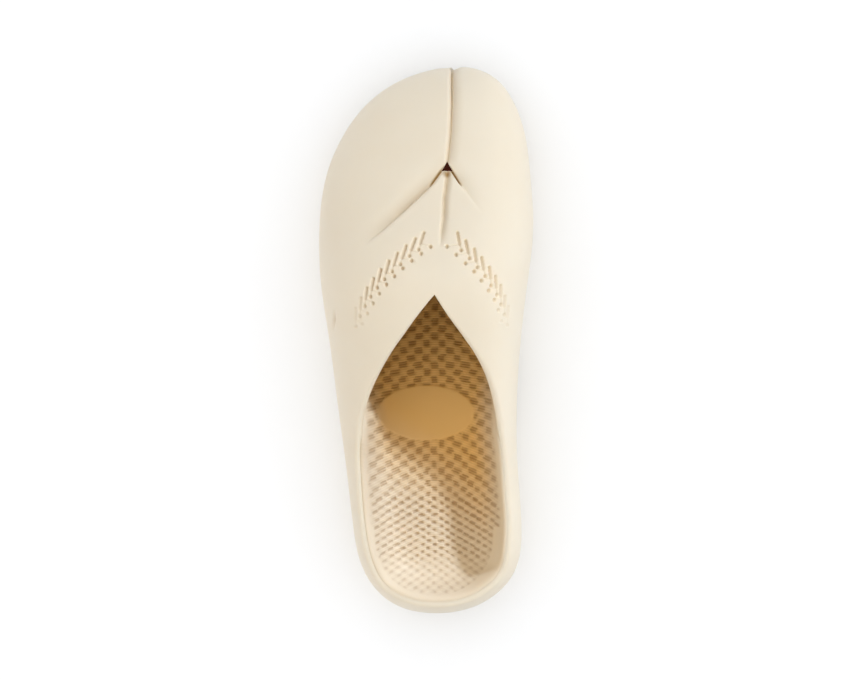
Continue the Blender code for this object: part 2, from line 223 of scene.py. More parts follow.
@dataclass(frozen=True)
class Last:
    """The form that the shoe is moulded on, with the thickness of its foam."""

    heel_end: tuple[float, float] = (6.2, 0.0)
    toe_end: tuple[float, float] = (14.2, 280.0)
    collar_back: tuple[float, float] = (6.0, 4.3)
    throat: tuple[float, float] = (6.2, 162.6)
    outline_rows: tuple[PlanRow, ...] = (
        PlanRow(5.9, -18.2, 30.2),
        PlanRow(21.1, -31.4, 45.4),
        PlanRow(46.6, -37.5, 49.0),
        PlanRow(77.1, -41.1, 47.0),
        PlanRow(107.7, -45.2, 46.7),
        PlanRow(138.2, -49.2, 48.5),
        PlanRow(168.7, -53.8, 52.0),
        PlanRow(199.3, -54.8, 55.1),
        PlanRow(224.7, -51.3, 53.6),
        PlanRow(245.1, -42.6, 51.0),
        PlanRow(261.0, -30.5, 45.6),
        PlanRow(272.5, -14.2, 37.6),
        PlanRow(278.2, 2.0, 28.0),
    )
    collar_rows: tuple[PlanRow, ...] = (
        PlanRow(8.0, -13.0, 25.0),
        PlanRow(14.0, -22.0, 34.2),
        PlanRow(22.0, -27.3, 41.0),
        PlanRow(33.0, -30.9, 43.9),
        PlanRow(46.6, -33.2, 44.7),
        PlanRow(61.8, -34.6, 43.7),
        PlanRow(77.1, -35.4, 42.6),
        PlanRow(92.4, -34.9, 41.0),
        PlanRow(107.7, -31.8, 38.7),
        PlanRow(122.9, -24.8, 34.2),
        PlanRow(138.2, -15.0, 25.4),
        PlanRow(153.5, -2.2, 12.7),
    )
    height_rows: tuple[HeightRow, ...] = (
        HeightRow(0.0, 20.0, 27.0, 60.5, 14.5),
        HeightRow(31.0, 20.0, 26.0, 65.0, 15.0),
        HeightRow(62.0, 20.0, 26.5, 64.0, 14.0),
        HeightRow(92.0, 20.5, 28.5, 67.0, 11.0),
        HeightRow(123.0, 20.0, 28.5, 73.0, 8.5),
        HeightRow(153.0, 17.5, 25.0, 81.0, 6.5),
        HeightRow(168.0, 16.2, 22.8, 82.5, 5.5),
        HeightRow(190.0, 14.8, 20.8, 76.0, 4.5),
        HeightRow(215.0, 14.5, 20.2, 66.0, 3.0),
        HeightRow(245.0, 17.0, 22.4, 55.0, 2.5),
        HeightRow(280.0, 24.0, 28.5, 40.0, 2.0),
    )
    spine_line: tuple[tuple[float, float], ...] = (
        (5.6, 35.0), (5.6, 120.0), (6.2, 162.6), (8.8, 189.0), (11.9, 228.0), (13.7, 252.0),
    )
    fullness: float = 2.75
    fullness_difference: float = 0.15
    seam_blend: float = 0.08
    steepness: float = 2.5
    wall: float = 4.0
    gap: float = 0.3
    upright: float = 3.0
    foot_blend: float = 0.03
    normal_step: float = 1e-3
    samples: int = 900
    columns: int = 720
    steps: int = 160

    @cached_property
    def halves(self) -> tuple[Points, Points]:
        """The outline, from the lateral side of the toe round the heel to the medial side.

        Returns:
            Signed shares of the outline, and its points in the plan.
        """
        sides = {}
        for side in Side:
            near, far = side.line(self.outline_rows), side.opposite.line(self.outline_rows)
            knots = [*far[2::-1], self.heel_end, *near, self.toe_end, *far[:-4:-1]]
            fine = curve_through(knots, 4 * self.samples)
            ends = [np.argmin(np.hypot(*(fine - np.array(at)).T)) for at in (self.heel_end, self.toe_end)]
            sides[side] = resampled(fine[ends[0] : ends[1] + 1], self.samples)
            sides[side][0], sides[side][-1] = self.heel_end, self.toe_end
        shares = np.linspace(0, 1, self.samples)
        points = np.concatenate([sides[Side.LATERAL][::-1], sides[Side.MEDIAL][1:]])
        return np.concatenate([-shares[::-1], shares[1:]]), points

    @cached_property
    def middle(self) -> Points:
        """The middle of the outline's box, which is the frame's origin."""
        points = self.halves[1]
        return np.array([*(points.min(axis=0) + points.max(axis=0)) / 2, 0.0])

    def outline(self, share: Points, inset: float = 0.0) -> Points:
        """Gives the outline at signed shares, moved in by inset.

        Args:
            share: Signed shares, 0 at the heel and 1 at the toe.
            inset: How far in from the outline.

        Returns:
            The points in the plan.
        """
        shares, points = self.halves
        place = read_line(share, shares, points)
        heading = read_line(share, shares, unit(np.gradient(points, axis=0)))
        inward = np.stack([-heading[..., 1], heading[..., 0]], axis=-1)
        inward[np.abs(share) > 1 - TINY] = (0.0, -1.0)
        return place + inward * inset

    def spine(self, share: Points) -> Points:
        """Gives the point of the spine that the outline at these shares looks towards.

        Args:
            share: Signed shares of the outline.

        Returns:
            The points in the plan.
        """
        share = np.abs(share)
        along = (self.outline(share)[..., 1] + self.outline(-share)[..., 1]) / 2
        across_knots, along_knots = zip(*self.spine_line)
        along = along_knots[0] + (along_knots[-1] - along_knots[0]) * along / self.toe_end[1]
        return np.stack([spline(along_knots, across_knots, along), along], axis=-1)

    def height(self, column: str, along: Points) -> Points:
        """Reads one column of the table of heights."""
        knots = [row.along for row in self.height_rows]
        return spline(knots, [getattr(row, column) for row in self.height_rows], along)

    @cached_property
    def throat_share(self) -> float:
        """The share of the outline whose spine point is the throat."""
        shares = np.linspace(0, 1, self.samples)
        return float(np.interp(self.throat[1], self.spine(shares)[:, 1], shares))

    def face(self, share: Points, rho: Points) -> Points:
        """Gives points of the upper's outer face before its creases.

        Args:
            share: Signed shares of the outline.
            rho: How far out each point is, 0 on the spine and 1 on the outline.

        Returns:
            The points.
        """
        spine, outline = self.spine(share), self.outline(share)
        plan = spine + (outline - spine) * rho[..., None]
        bottom = self.height("feather", plan[..., 1]) + self.gap + self.upright
        apart = ease(np.abs(share) / self.seam_blend) * ease((1 - np.abs(share)) / self.seam_blend)
        fullness = self.fullness + np.sign(share) * self.fullness_difference * apart
        full = np.maximum(1 - rho**fullness, 0) ** (1 / self.steepness)
        level = bottom + (self.height("ridge", plan[..., 1]) - bottom) * full
        return np.concatenate([plan, level[..., None]], axis=-1)

    @cached_property
    def table_shares(self) -> Points:
        """Signed shares at which the tables of the face are kept."""
        return np.linspace(-1, 1, 2 * self.columns + 1)

    @cached_property
    def collar_rho(self) -> Points:
        """How far out the collar lies at each of the table's shares.

        Returns:
            0 on the spine and past the throat, 1 on the outline.
        """
        found = np.zeros(len(self.table_shares))
        spines, outlines = self.spine(self.table_shares), self.outline(self.table_shares)
        for side in Side:
            near, far = side.line(self.collar_rows), side.opposite.line(self.collar_rows)
            curve = curve_through([*far[1::-1], self.collar_back, *near, self.throat], self.samples)
            for index, share in enumerate(self.table_shares):
                if share * side.value < 0 or abs(share) >= self.throat_share:
                    continue
                reach = outlines[index] - spines[index]
                turned = np.array([-reach[1], reach[0]])
                offsets = (curve - spines[index]) @ turned
                places = (curve - spines[index]) @ reach / (reach @ reach)
                crossing = np.flatnonzero((offsets[:-1] * offsets[1:] <= 0) & (places[:-1] > 0))
                if len(crossing):
                    first = crossing[-1]
                    ratio = offsets[first] / (offsets[first] - offsets[first + 1])
                    found[index] = places[first] + ratio * (places[first + 1] - places[first])
        return found

    @cached_property
    def rho_table(self) -> Points:
        """Rho at even steps from the outline to the collar or the spine.

        Returns:
            One row for each of the table's shares.
        """
        inward = (1 - self.collar_rho)[:, None] * np.linspace(0, 1, self.steps) ** 2
        rho = 1 - inward
        shares = np.broadcast_to(self.table_shares[:, None], rho.shape)
        fine = self.face(shares, rho)
        lengths = np.cumsum(np.linalg.norm(np.diff(fine, axis=1), axis=2), axis=1)
        lengths = np.concatenate([np.zeros((len(lengths), 1)), lengths], axis=1)
        even = np.linspace(0, 1, self.steps)
        return np.stack([np.interp(even * line[-1], line, row) for line, row in zip(lengths, rho)])

    def rho_at(self, share: Points, rise: Points) -> Points:
        """Reads rho at signed shares and rises, 0 at the feather edge and 1 at the collar or the spine.

        Args:
            share: Signed shares of the outline.
            rise: How far up the face, from 0 to 1.

        Returns:
            How far out each point is, 0 on the spine and 1 on the outline.
        """
        column = (share + 1) * self.columns
        low = np.clip(column.astype(int), 0, 2 * self.columns - 1)
        part = column - low
        step = np.clip(rise, 0, 1) * (self.steps - 1)
        under = np.clip(step.astype(int), 0, self.steps - 2)
        over = step - under
        table = self.rho_table
        near = table[low, under] * (1 - over) + table[low, under + 1] * over
        next_one = table[low + 1, under] * (1 - over) + table[low + 1, under + 1] * over
        return near * (1 - part) + next_one * part

    def skin(self, share: Points, rise: Points) -> Points:
        """Gives the outer face at signed shares and rises; a rise under 0 goes down the upright foot.

        Args:
            share: Signed shares of the outline.
            rise: How far up the face, from 0 to 1.

        Returns:
            The points in millimetres from the heel end.
        """
        closed = (np.abs(share) >= self.throat_share - TINY) & (rise >= 1 - TINY)
        point = self.face(share, np.where(closed, 0.0, self.rho_at(share, rise)))
        point[..., 2] += np.minimum(rise, 0) * self.upright
        return point

    def skin_normal(self, share: Points, rise: Points) -> Points:
        """Gives the outward direction of the outer face.

        Args:
            share: Signed shares of the outline.
            rise: How far up the face, from 0 to 1.

        Returns:
            Directions of length one.
        """
        step = self.normal_step
        up = np.clip(rise, 0, 1 - step)
        share = np.clip(share, -1 + step, 1 - step)
        along = self.skin(share + step, up) - self.skin(share - step, up)
        over = self.skin(share, up + step) - self.skin(share, np.maximum(up - step, 0))
        normal = unit(np.cross(along, over))
        normal *= np.where(normal[..., 2:] < 0, -1.0, 1.0)
        foot = ease(1 - rise / self.foot_blend)[..., None]
        flat = unit(self.outline(share) - self.outline(share, 1.0))
        flat = np.concatenate([flat, np.zeros((*flat.shape[:-1], 1))], axis=-1)
        return unit(normal * (1 - foot) + flat * foot)


LAST = Last()


def to_frame(points: Points) -> Points:
    """Turns millimetres from the heel end into the frame's metres."""
    return (points - LAST.middle) * MM


def to_plan(points: Points) -> Points:
    """Turns the frame's metres into millimetres from the heel end."""
    return points / MM + LAST.middle


def points_of(piece: bpy.types.Object) -> Points:
    """Reads a piece's vertices.

    Args:
        piece: The piece.

    Returns:
        One place for each vertex.
    """
    found = np.empty(len(piece.data.vertices) * 3, np.float32)
    piece.data.vertices.foreach_get("co", found)
    return found.reshape(-1, 3).astype(float)


def set_points(piece: bpy.types.Object, points: Points) -> None:
    """Moves a piece's vertices."""
    piece.data.vertices.foreach_set("co", points.astype(np.float32).ravel())
    piece.data.update()


def keep_value(piece: bpy.types.Object, name: str, values: Points) -> None:
    """Keeps one number for each vertex with the piece."""
    layer = piece.data.attributes.new(name, "FLOAT", "POINT")
    layer.data.foreach_set("value", values.astype(np.float32))


def kept_value(piece: bpy.types.Object, name: str) -> Points:
    """Reads the numbers kept for each vertex.

    Args:
        piece: The piece.
        name: What the numbers are kept as.

    Returns:
        One number for each vertex.
    """
    found = np.empty(len(piece.data.vertices), np.float32)
    piece.data.attributes[name].data.foreach_get("value", found)
    return found.astype(float)


def select_faces(piece: bpy.types.Object, chosen: Points) -> None:
    """Selects only the chosen faces of a piece, and turns to selecting faces.

    Args:
        piece: The piece.
        chosen: True for each face to select.
    """
    bpy.context.tool_settings.mesh_select_mode = (False, False, True)
    for kind in (piece.data.vertices, piece.data.edges):
        kind.foreach_set("select", np.zeros(len(kind), bool))
    piece.data.polygons.foreach_set("select", chosen)


@contextmanager
def editing(piece: bpy.types.Object) -> Iterator[None]:
    """Holds one piece alone in edit mode.

    Args:
        piece: The piece.

    Yields:
        Nothing, while the piece is in edit mode.
    """
    bpy.ops.object.select_all(action="DESELECT")
    bpy.context.view_layer.objects.active = piece
    piece.select_set(True)
    bpy.ops.object.mode_set(mode="EDIT")
    yield
    bpy.ops.object.mode_set(mode="OBJECT")


def add_sheet(name: str, columns: int, rows: int) -> bpy.types.Object:
    """Adds the flat grid that a piece is moulded from, from -1 to 1 each way.

    Args:
        name: Name of the piece.
        columns: Faces from side to side.
        rows: Faces from front to back.

    Returns:
        The sheet.
    """
    bpy.ops.object.select_all(action="DESELECT")
    bpy.ops.mesh.primitive_grid_add(x_subdivisions=columns, y_subdivisions=rows, size=2)
    piece = bpy.context.active_object
    piece.name = name
    piece.data.name = name
    return piece


def face_middles(piece: bpy.types.Object) -> Points:
    """Reads the middles of a piece's faces.

    Args:
        piece: The piece.

    Returns:
        One place for each face.
    """
    found = np.empty(len(piece.data.polygons) * 3, np.float32)
    piece.data.polygons.foreach_get("center", found)
    return found.reshape(-1, 3).astype(float)


def weld(piece: bpy.types.Object, distance: float = 0.01) -> None:
    """Merges a piece's doubled points and turns its faces outward.

    Args:
        piece: The piece.
        distance: How near to each other points are merged, in millimetres.
    """
    with editing(piece):
        bpy.ops.mesh.select_all(action="SELECT")
        bpy.ops.mesh.remove_doubles(threshold=distance * MM)
        bpy.ops.mesh.normals_make_consistent(inside=False)


def normals_of(piece: bpy.types.Object) -> Points:
    """Reads the outward direction at each vertex.

    Args:
        piece: The piece.

    Returns:
        Directions of length one.
    """
    found = np.empty(len(piece.data.vertices) * 3, np.float32)
    piece.data.vertex_normals.foreach_get("vector", found)
    return found.reshape(-1, 3).astype(float)


@dataclass(frozen=True)
class Trough:
    """A soft hollow along a line on the outer face, deepest on the line."""

    path: tuple[tuple[float, float], ...]
    reach: float
    depths: tuple[float, ...]
    power: float = 2.0
    # How much painted shade the hollow gets, per millimetre of depth.
    tint: float = 0.0

    def depth(self, plan: Points) -> Points:
        """Gives how far the face is pressed in at places in the plan.

        Args:
            plan: Places in the plan.

        Returns:
            Depths in millimetres.
        """
        away, share = distance_to(self.path, plan)
        deep = np.interp(share, np.linspace(0, 1, len(self.depths)), self.depths)
        return deep * np.clip(1 - away / self.reach, 0, 1) ** self.power


@dataclass(frozen=True)
class Fold:
    """A hollow with one long and one short slope, as where foam swells on one side of a crease."""

    path: tuple[tuple[float, float], ...]
    left: float
    right: float
    depths: tuple[float, ...]
    power: float = 2.0
    # How much painted shade the hollow gets, per millimetre of depth.
    tint: float = 0.0

    def depth(self, plan: Points) -> Points:
        """Gives how far the face is pressed in at places in the plan.

        Args:
            plan: Places in the plan.

        Returns:
            Depths in millimetres.
        """
        away, share = distance_to(self.path, plan)
        line = np.array(self.path)
        places = lengths_along(line) / lengths_along(line)[-1]
        run = read_line(share + STEP_ALONG, places, line) - read_line(share - STEP_ALONG, places, line)
        offset = plan - read_line(share, places, line)
        leftward = run[:, 0] * offset[:, 1] - run[:, 1] * offset[:, 0] > 0
        deep = np.interp(share, np.linspace(0, 1, len(self.depths)), self.depths)
        reach = np.where(leftward, self.left, self.right)
        return deep * np.clip(1 - away / reach, 0, 1) ** self.power


@dataclass(frozen=True)
class Slit:
    """A narrow cut with a flat foot and nearly upright sides."""

    path: tuple[tuple[float, float], ...]
    width: float
    depths: tuple[float, ...]
    edge: float = 0.35

    def depth(self, plan: Points) -> Points:
        """Gives how far the face is pressed in at places in the plan.

        Args:
            plan: Places in the plan.

        Returns:
            Depths in millimetres.
        """
        away, share = distance_to(self.path, plan)
        deep = np.interp(share, np.linspace(0, 1, len(self.depths)), self.depths)
        return deep * (1 - ease((away - self.width / 2 + self.edge / 2) / self.edge))


@dataclass(frozen=True)
class Hole:
    """The small arrowhead hole between the toes, pointed to the front."""

    tip: tuple[float, float] = (11.8, 230.0)
    back: float = 225.0
    width: float = 5.6
    reach: float = 14.0

    shade_fade: float = 9.0
    shade_start: float = 0.4

    def shade(self, point: Points) -> Points:
        """Gives how much painted shade the foam inside the shoe gets round the hole, from 0 to 1."""
        away = np.hypot(point[:, 0] - self.tip[0], point[:, 1] - (self.tip[1] + self.back) / 2)
        return 1 - ease(away / self.shade_fade - self.shade_start)


@dataclass(frozen=True)
class UpperRelief:
    """What is moulded into the upper's outer face."""

    split: tuple[Fold, Slit] = (
        Fold(((13.4, 283.0), (13.4, 276.6), (13.9, 260.4), (13.4, 245.1), (12.3, 232.4), (11.8, 229.0)),
             6.5, 2.4, (2.4, 2.2, 2.0, 1.9, 1.7, 1.6), 1.8, 0.13),
        Slit(((13.4, 283.0), (13.4, 276.6), (13.9, 260.4), (13.4, 245.1), (12.3, 232.4), (11.8, 229.0)),
             0.6, (3.0, 1.6, 0.9, 0.9, 1.4), 0.6),
    )
    slits: tuple[Slit, ...] = (
        Slit(((10.4, 227.4), (8.3, 225.2), (3.4, 218.4)), 1.1, (3.4, 3.2, 2.2, 0.9)),
        Slit(((13.2, 227.4), (14.4, 225.2), (19.0, 218.1)), 1.0, (3.4, 3.2, 1.9, 0.6)),
    )
    creases: tuple[Fold | Trough, ...] = (
        Fold(((9.8, 226.2), (3.8, 218.6), (-12.0, 203.6), (-29.9, 187.1)),
             2.0, 8.4, (1.6, 3.4, 3.3, 2.2, 0.0), 1.7, 0.115),
        Fold(((13.6, 226.2), (18.5, 219.1), (24.0, 211.6), (30.0, 203.5)),
             7.0, 1.6, (1.6, 2.0, 1.1, 0.5, 0.0), 1.8, 0.04),
        Fold(((11.8, 226.0), (11.4, 220.0), (10.3, 212.0), (10.1, 201.8), (9.3, 194.2), (8.8, 186.0)),
             4.0, 1.1, (2.6, 2.6, 2.6, 2.4, 1.8, 0.0), 1.7, 0.15),
        Trough(((-45.0, 155.0), (-46.0, 145.0)), 1.3, (0.2, 1.2, 0.2), 1.5, 0.22),
        Trough(((13.5, 285.0), (13.5, 273.0)), 7.0, (2.6, 0.0), 1.8),
    )
    bar_width: float = 1.4
    bar_foot: float = 0.8
    bar_edge: float = 0.45
    link_widths: tuple[float, float] = (0.7, 0.6)
    link_share: float = 0.4
    link_end: float = 0.1
    hole_width: float = 1.6
    hole_length: float = 0.3
    soft_edge: float = 0.5
    deepest: float = 3.5
    split_margin: float = 2.4
    crease_margin: float = 1.9
    mark_margin: float = 1.7
    cut_margin: float = 3.0
    # Painted shade round the hole on the outer face, and in the split, slits and stitch marks.
    hole_shade_centre: tuple[float, float] = (11.8, 223.9)
    hole_shade_reach: float = 3.3
    hole_shade_tint: float = 0.95
    split_tint: float = 0.24
    slit_tint: float = 0.7
    mark_tint: float = 0.32
    stitches: tuple[Stitch, ...] = (
        Stitch((17.4, 193.7), (18.5, 187.8), (19.3, 185.0), (12.3, 186.8), 1.5),
        Stitch((21.5, 189.6), (22.9, 183.5), (23.5, 181.0), (16.9, 182.7), 1.5),
        Stitch((25.9, 185.5), (26.9, 179.4), (27.6, 176.4), (21.5, 178.4), 1.5),
        Stitch((29.6, 181.2), (30.7, 175.3), (31.5, 172.0), (25.9, 174.3), 1.5),
        Stitch((33.5, 176.4), (34.2, 170.8), (34.4, 167.2), (29.6, 169.7), 1.5),
        Stitch((36.6, 171.8), (37.0, 166.2), (37.3, 162.6), (33.2, 164.7), 1.3),
        Stitch((39.2, 167.2), (39.2, 161.6), (39.3, 157.8), (36.0, 160.1), 1.1),
        Stitch((41.2, 162.0), (40.9, 156.8), (40.9, 152.8), (37.9, 155.0), 0.7),
        Stitch((42.8, 156.8), (42.3, 151.8), (42.2, 147.6), (39.3, 149.6), 0.35),
        Stitch((0.6, 193.7), (-1.1, 188.3), (-1.9, 185.4), (4.0, 186.8), 1.5),
        Stitch((-3.7, 190.6), (-5.7, 185.0), (-6.5, 182.2), (-0.6, 183.3), 1.5),
        Stitch((-8.2, 187.1), (-10.2, 180.9), (-11.0, 178.0), (-5.3, 179.8), 1.5),
        Stitch((-12.6, 183.4), (-14.4, 177.4), (-15.1, 174.4), (-9.8, 176.0), 1.5),
        Stitch((-16.8, 179.5), (-18.4, 173.6), (-19.0, 170.5), (-14.0, 172.0), 1.5),
        Stitch((-20.8, 175.2), (-22.2, 169.4), (-22.7, 166.2), (-18.0, 167.8), 1.5),
        Stitch((-24.5, 170.7), (-25.6, 165.0), (-26.0, 161.7), (-21.6, 163.2), 1.3),
        Stitch((-27.8, 166.0), (-28.6, 160.4), (-28.9, 157.0), (-24.8, 158.4), 1.1),
        Stitch((-30.8, 161.0), (-31.3, 155.5), (-31.5, 152.0), (-27.7, 153.4), 0.7),
        Stitch((-33.5, 155.8), (-33.7, 150.4), (-33.7, 147.0), (-30.3, 148.2), 0.35),
    )

    @cached_property
    def marks(self) -> tuple[Slit, ...]:
        """The bars and holes of the moulded stitches.

        Returns:
            A cut for each of them.
        """
        made = []
        for stitch in self.stitches:
            deep = stitch.depth
            link, wide, narrow = self.link_share * deep, *self.link_widths
            bar = (stitch.top, stitch.foot)
            made.append(Slit(bar, self.bar_width, (deep, self.bar_foot * deep), self.bar_edge))
            made.append(Slit((stitch.foot, stitch.near), wide, (link,), self.soft_edge))
            far = (link, self.link_end * deep)
            made.append(Slit((stitch.foot, stitch.far), narrow, far, self.soft_edge))
            for across, along in (stitch.near, stitch.far):
                hole = ((across, along), (across, along - self.hole_length))
                made.append(Slit(hole, self.hole_width, (deep,), self.soft_edge))
        return tuple(made)

    def deepest_cut(self, plan: Points, margin: float, tinted: bool) -> Points:
        """Gives how deep the slits and stitches go, or the painted shade they get.

        Args:
            plan: Places in the plan.
            margin: How far round each cut to look.
            tinted: Whether each depth is scaled to the cut's share of painted shade.

        Returns:
            The greatest depth or tint at each place.
        """
        cut = np.zeros(len(plan))
        for slit in (*self.slits, *self.marks):
            share = (self.slit_tint if slit in self.slits else self.mark_tint) if tinted else 1.0
            inside = np.flatnonzero(self.around(slit, plan, margin))
            cut[inside] = np.maximum(cut[inside], share * slit.depth(plan[inside]))
        return cut

    def around(self, slit: Slit, plan: Points, margin: float) -> Points:
        """Tells which places lie in the box round a cut."""
        low, high = np.min(slit.path, axis=0) - margin, np.max(slit.path, axis=0) + margin
        return ((plan > low) & (plan < high)).all(axis=1)

    def depth(self, plan: Points) -> Points:
        """Gives how far the face is pressed in at places in the plan.

        Args:
            plan: Places in the plan.

        Returns:
            Depths in millimetres.
        """
        pressed = np.zeros(len(plan))
        for crease in (self.split[0], *self.creases):
            pressed += crease.depth(plan) ** 3
        pressed = np.cbrt(pressed) + self.split[1].depth(plan)
        return np.minimum(pressed + self.deepest_cut(plan, self.cut_margin, False), self.deepest)

    def painted_recess_shade(self, plan: Points) -> Points:
        """Tells how much painted shade a place gets in the creases, cuts and stitches and round the hole,
        from 0 to 1.

        Args:
            plan: Places in the plan.

        Returns:
            The share at each place.
        """
        tint = self.split[1].depth(plan) * self.split_tint
        for crease in (self.split[0], *self.creases):
            tint = np.maximum(tint, crease.tint * crease.depth(plan))
        tint = np.maximum(tint, self.deepest_cut(plan, self.cut_margin, True))
        away = np.hypot(*(plan - self.hole_shade_centre).T)
        return np.clip(np.maximum(tint, self.hole_shade_tint * (1 - ease(away / self.hole_shade_reach))), 0, 1)

    def fine_places(self, plan: Points) -> Points:
        """Tells which places need a finer mesh.

        Args:
            plan: Places in the plan.

        Returns:
            True where the mesh is made finer.
        """
        chosen = distance_to(self.split[0].path, plan)[0] < self.split_margin
        for crease in self.creases:
            chosen |= distance_to(crease.path, plan)[0] < self.crease_margin
        for slit in (*self.slits, *self.marks):
            chosen |= self.around(slit, plan, self.mark_margin)
        return chosen


@dataclass(frozen=True)
class Foam:
    """Closed-cell foam, injection moulded in a grained steel mould.

    It looks matte and faintly mottled, and light soaks a few millimetres into it.
    """

    name: str
    cream: str
    deeper: str
    roughness: float = 0.58
    cloud: float = 30.0
    grain: float = 0.45
    grain_depth: float = 0.02
    grain_strength: float = 0.6
    gloss: float = 0.5
    uneven_gloss: float = 0.05
    refraction: float = 1.49
    # Colours of the painted shade in creases, cuts and pits, and of the painted warm shade where light
    # bounces inside the shoe.
    painted_recess_shade: str = "#A08048"
    painted_warm_shade: str = "#F3D6A6"
    # Painted shade and a painted faint brown glow for the foam round the hole.
    dark: str = "#2E160A"
    painted_hole_glow: str = "#3C1A12"
    glow: float = 0.3
    glow_depth: float = 4.0
    glow_colours: tuple[float, float, float] = (1.0, 0.68, 0.42)

    def material(self) -> bpy.types.Material:
        """Makes the material.

        Returns:
            The material.
        """
        made = bpy.data.materials.new(self.name)
        made.use_nodes = True
        tree = made.node_tree
        shader = tree.nodes["Principled BSDF"]
        place = add_node(tree, "ShaderNodeTexCoord").outputs["Object"]
        # The slow cloud gives the eye the uneven tone of foam from one mould.
        cloud = add_node(tree, "ShaderNodeTexNoise", {}, {
            "Vector": place, "Scale": 1 / (self.cloud * MM), "Detail": 3.0})
        # The grain breaks up the gloss. The real one is finer, and is drawn coarse enough to show.
        speck = add_node(tree, "ShaderNodeTexNoise", {}, {
            "Vector": place, "Scale": 1 / (self.grain * MM), "Detail": 2.0})
        tone = add_node(tree, "ShaderNodeMix", {"data_type": "RGBA"}, {0: cloud.outputs["Fac"]})
        tone.inputs[6].default_value = (*linear(self.cream), 1)
        tone.inputs[7].default_value = (*linear(self.deeper), 1)
        shaded = tone
        # Round the hole the inner foam gets painted shade, loses its gloss and gives off a faint painted
        # brown glow, so the hole looks deep.
        hole_shade_mask = add_node(tree, "ShaderNodeAttribute", {"attribute_name": "painted_hole_shade"}).outputs["Fac"]
        shine = add_node(tree, "ShaderNodeMapRange", {}, {
            "Value": hole_shade_mask, "To Min": self.gloss, "To Max": 0.0})
        tree.links.new(shine.outputs["Result"], shader.inputs["Specular IOR Level"])
        tree.links.new(hole_shade_mask, shader.inputs["Emission Strength"])
        shader.inputs["Emission Color"].default_value = (*linear(self.painted_hole_glow), 1)
        # The warm mix paints the light bounced into the shoe's shade; pressed paints shade in creases, cuts
        # and pits; the hole mix paints shade round the hole.
        for layer, colour in (("painted_warm_shade", self.painted_warm_shade), ("pressed", self.painted_recess_shade), ("painted_hole_shade", self.dark)):
            share = add_node(tree, "ShaderNodeAttribute", {"attribute_name": layer}).outputs["Fac"]
            shaded = add_node(tree, "ShaderNodeMix", {"data_type": "RGBA"}, {0: share, 6: shaded.outputs[2]})
            shaded.inputs[7].default_value = (*linear(colour), 1)
        dull = add_node(tree, "ShaderNodeMapRange", {}, {
            "Value": speck.outputs["Fac"], "To Min": self.roughness - self.uneven_gloss,
            "To Max": self.roughness + self.uneven_gloss})
        relief = add_node(tree, "ShaderNodeBump", {}, {
            "Height": speck.outputs["Fac"], "Strength": self.grain_strength,
            "Distance": self.grain_depth * MM})
        tree.links.new(shaded.outputs[2], shader.inputs["Base Color"])
        tree.links.new(dull.outputs["Result"], shader.inputs["Roughness"])
        tree.links.new(relief.outputs["Normal"], shader.inputs["Normal"])
        shader.subsurface_method = "BURLEY"
        shader.inputs["IOR"].default_value = self.refraction
        shader.inputs["Subsurface Weight"].default_value = self.glow
        shader.inputs["Subsurface Radius"].default_value = self.glow_colours
        shader.inputs["Subsurface Scale"].default_value = self.glow_depth * MM
        return made


def linear(colour: str) -> tuple[float, float, float]:
    """Turns an sRGB hex colour to linear light."""
    values = [int(colour[start : start + 2], 16) / 255 for start in (1, 3, 5)]
    return tuple(value / 12.92 if value <= 0.04045 else ((value + 0.055) / 1.055) ** 2.4 for value in values)


def add_node(tree: bpy.types.NodeTree, kind: str, settings: dict | None = None,
             inputs: dict | None = None) -> bpy.types.Node:
    """Adds a node to a material.

    Args:
        tree: The material's nodes.
        kind: Blender's name for the kind of node.
        settings: The node's own settings.
        inputs: For each input, by name or number, its value or the output that feeds it.

    Returns:
        The node.
    """
    node = tree.nodes.new(kind)
    for name, value in (settings or {}).items():
        setattr(node, name, value)
    for name, value in (inputs or {}).items():
        if isinstance(value, bpy.types.NodeSocket):
            tree.links.new(value, node.inputs[name])
        else:
            node.inputs[name].default_value = value
    return node


def dress(piece: bpy.types.Object, foam: Foam, node: str) -> None:
    """Gives a piece its foam, hides the CAD node that it replaces, and hangs it on the root body.

    Args:
        piece: The finished piece.
        foam: Its finish.
        node: The CAD node that it replaces.
    """
    piece.data.materials.clear()
    piece.data.materials.append(foam.material())
    piece.data.shade_smooth()
    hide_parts(node)
    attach(piece, "root")
    piece.data.calc_loop_triangles()
    LOG.info("%s: %d triangles", piece.name, len(piece.data.loop_triangles))


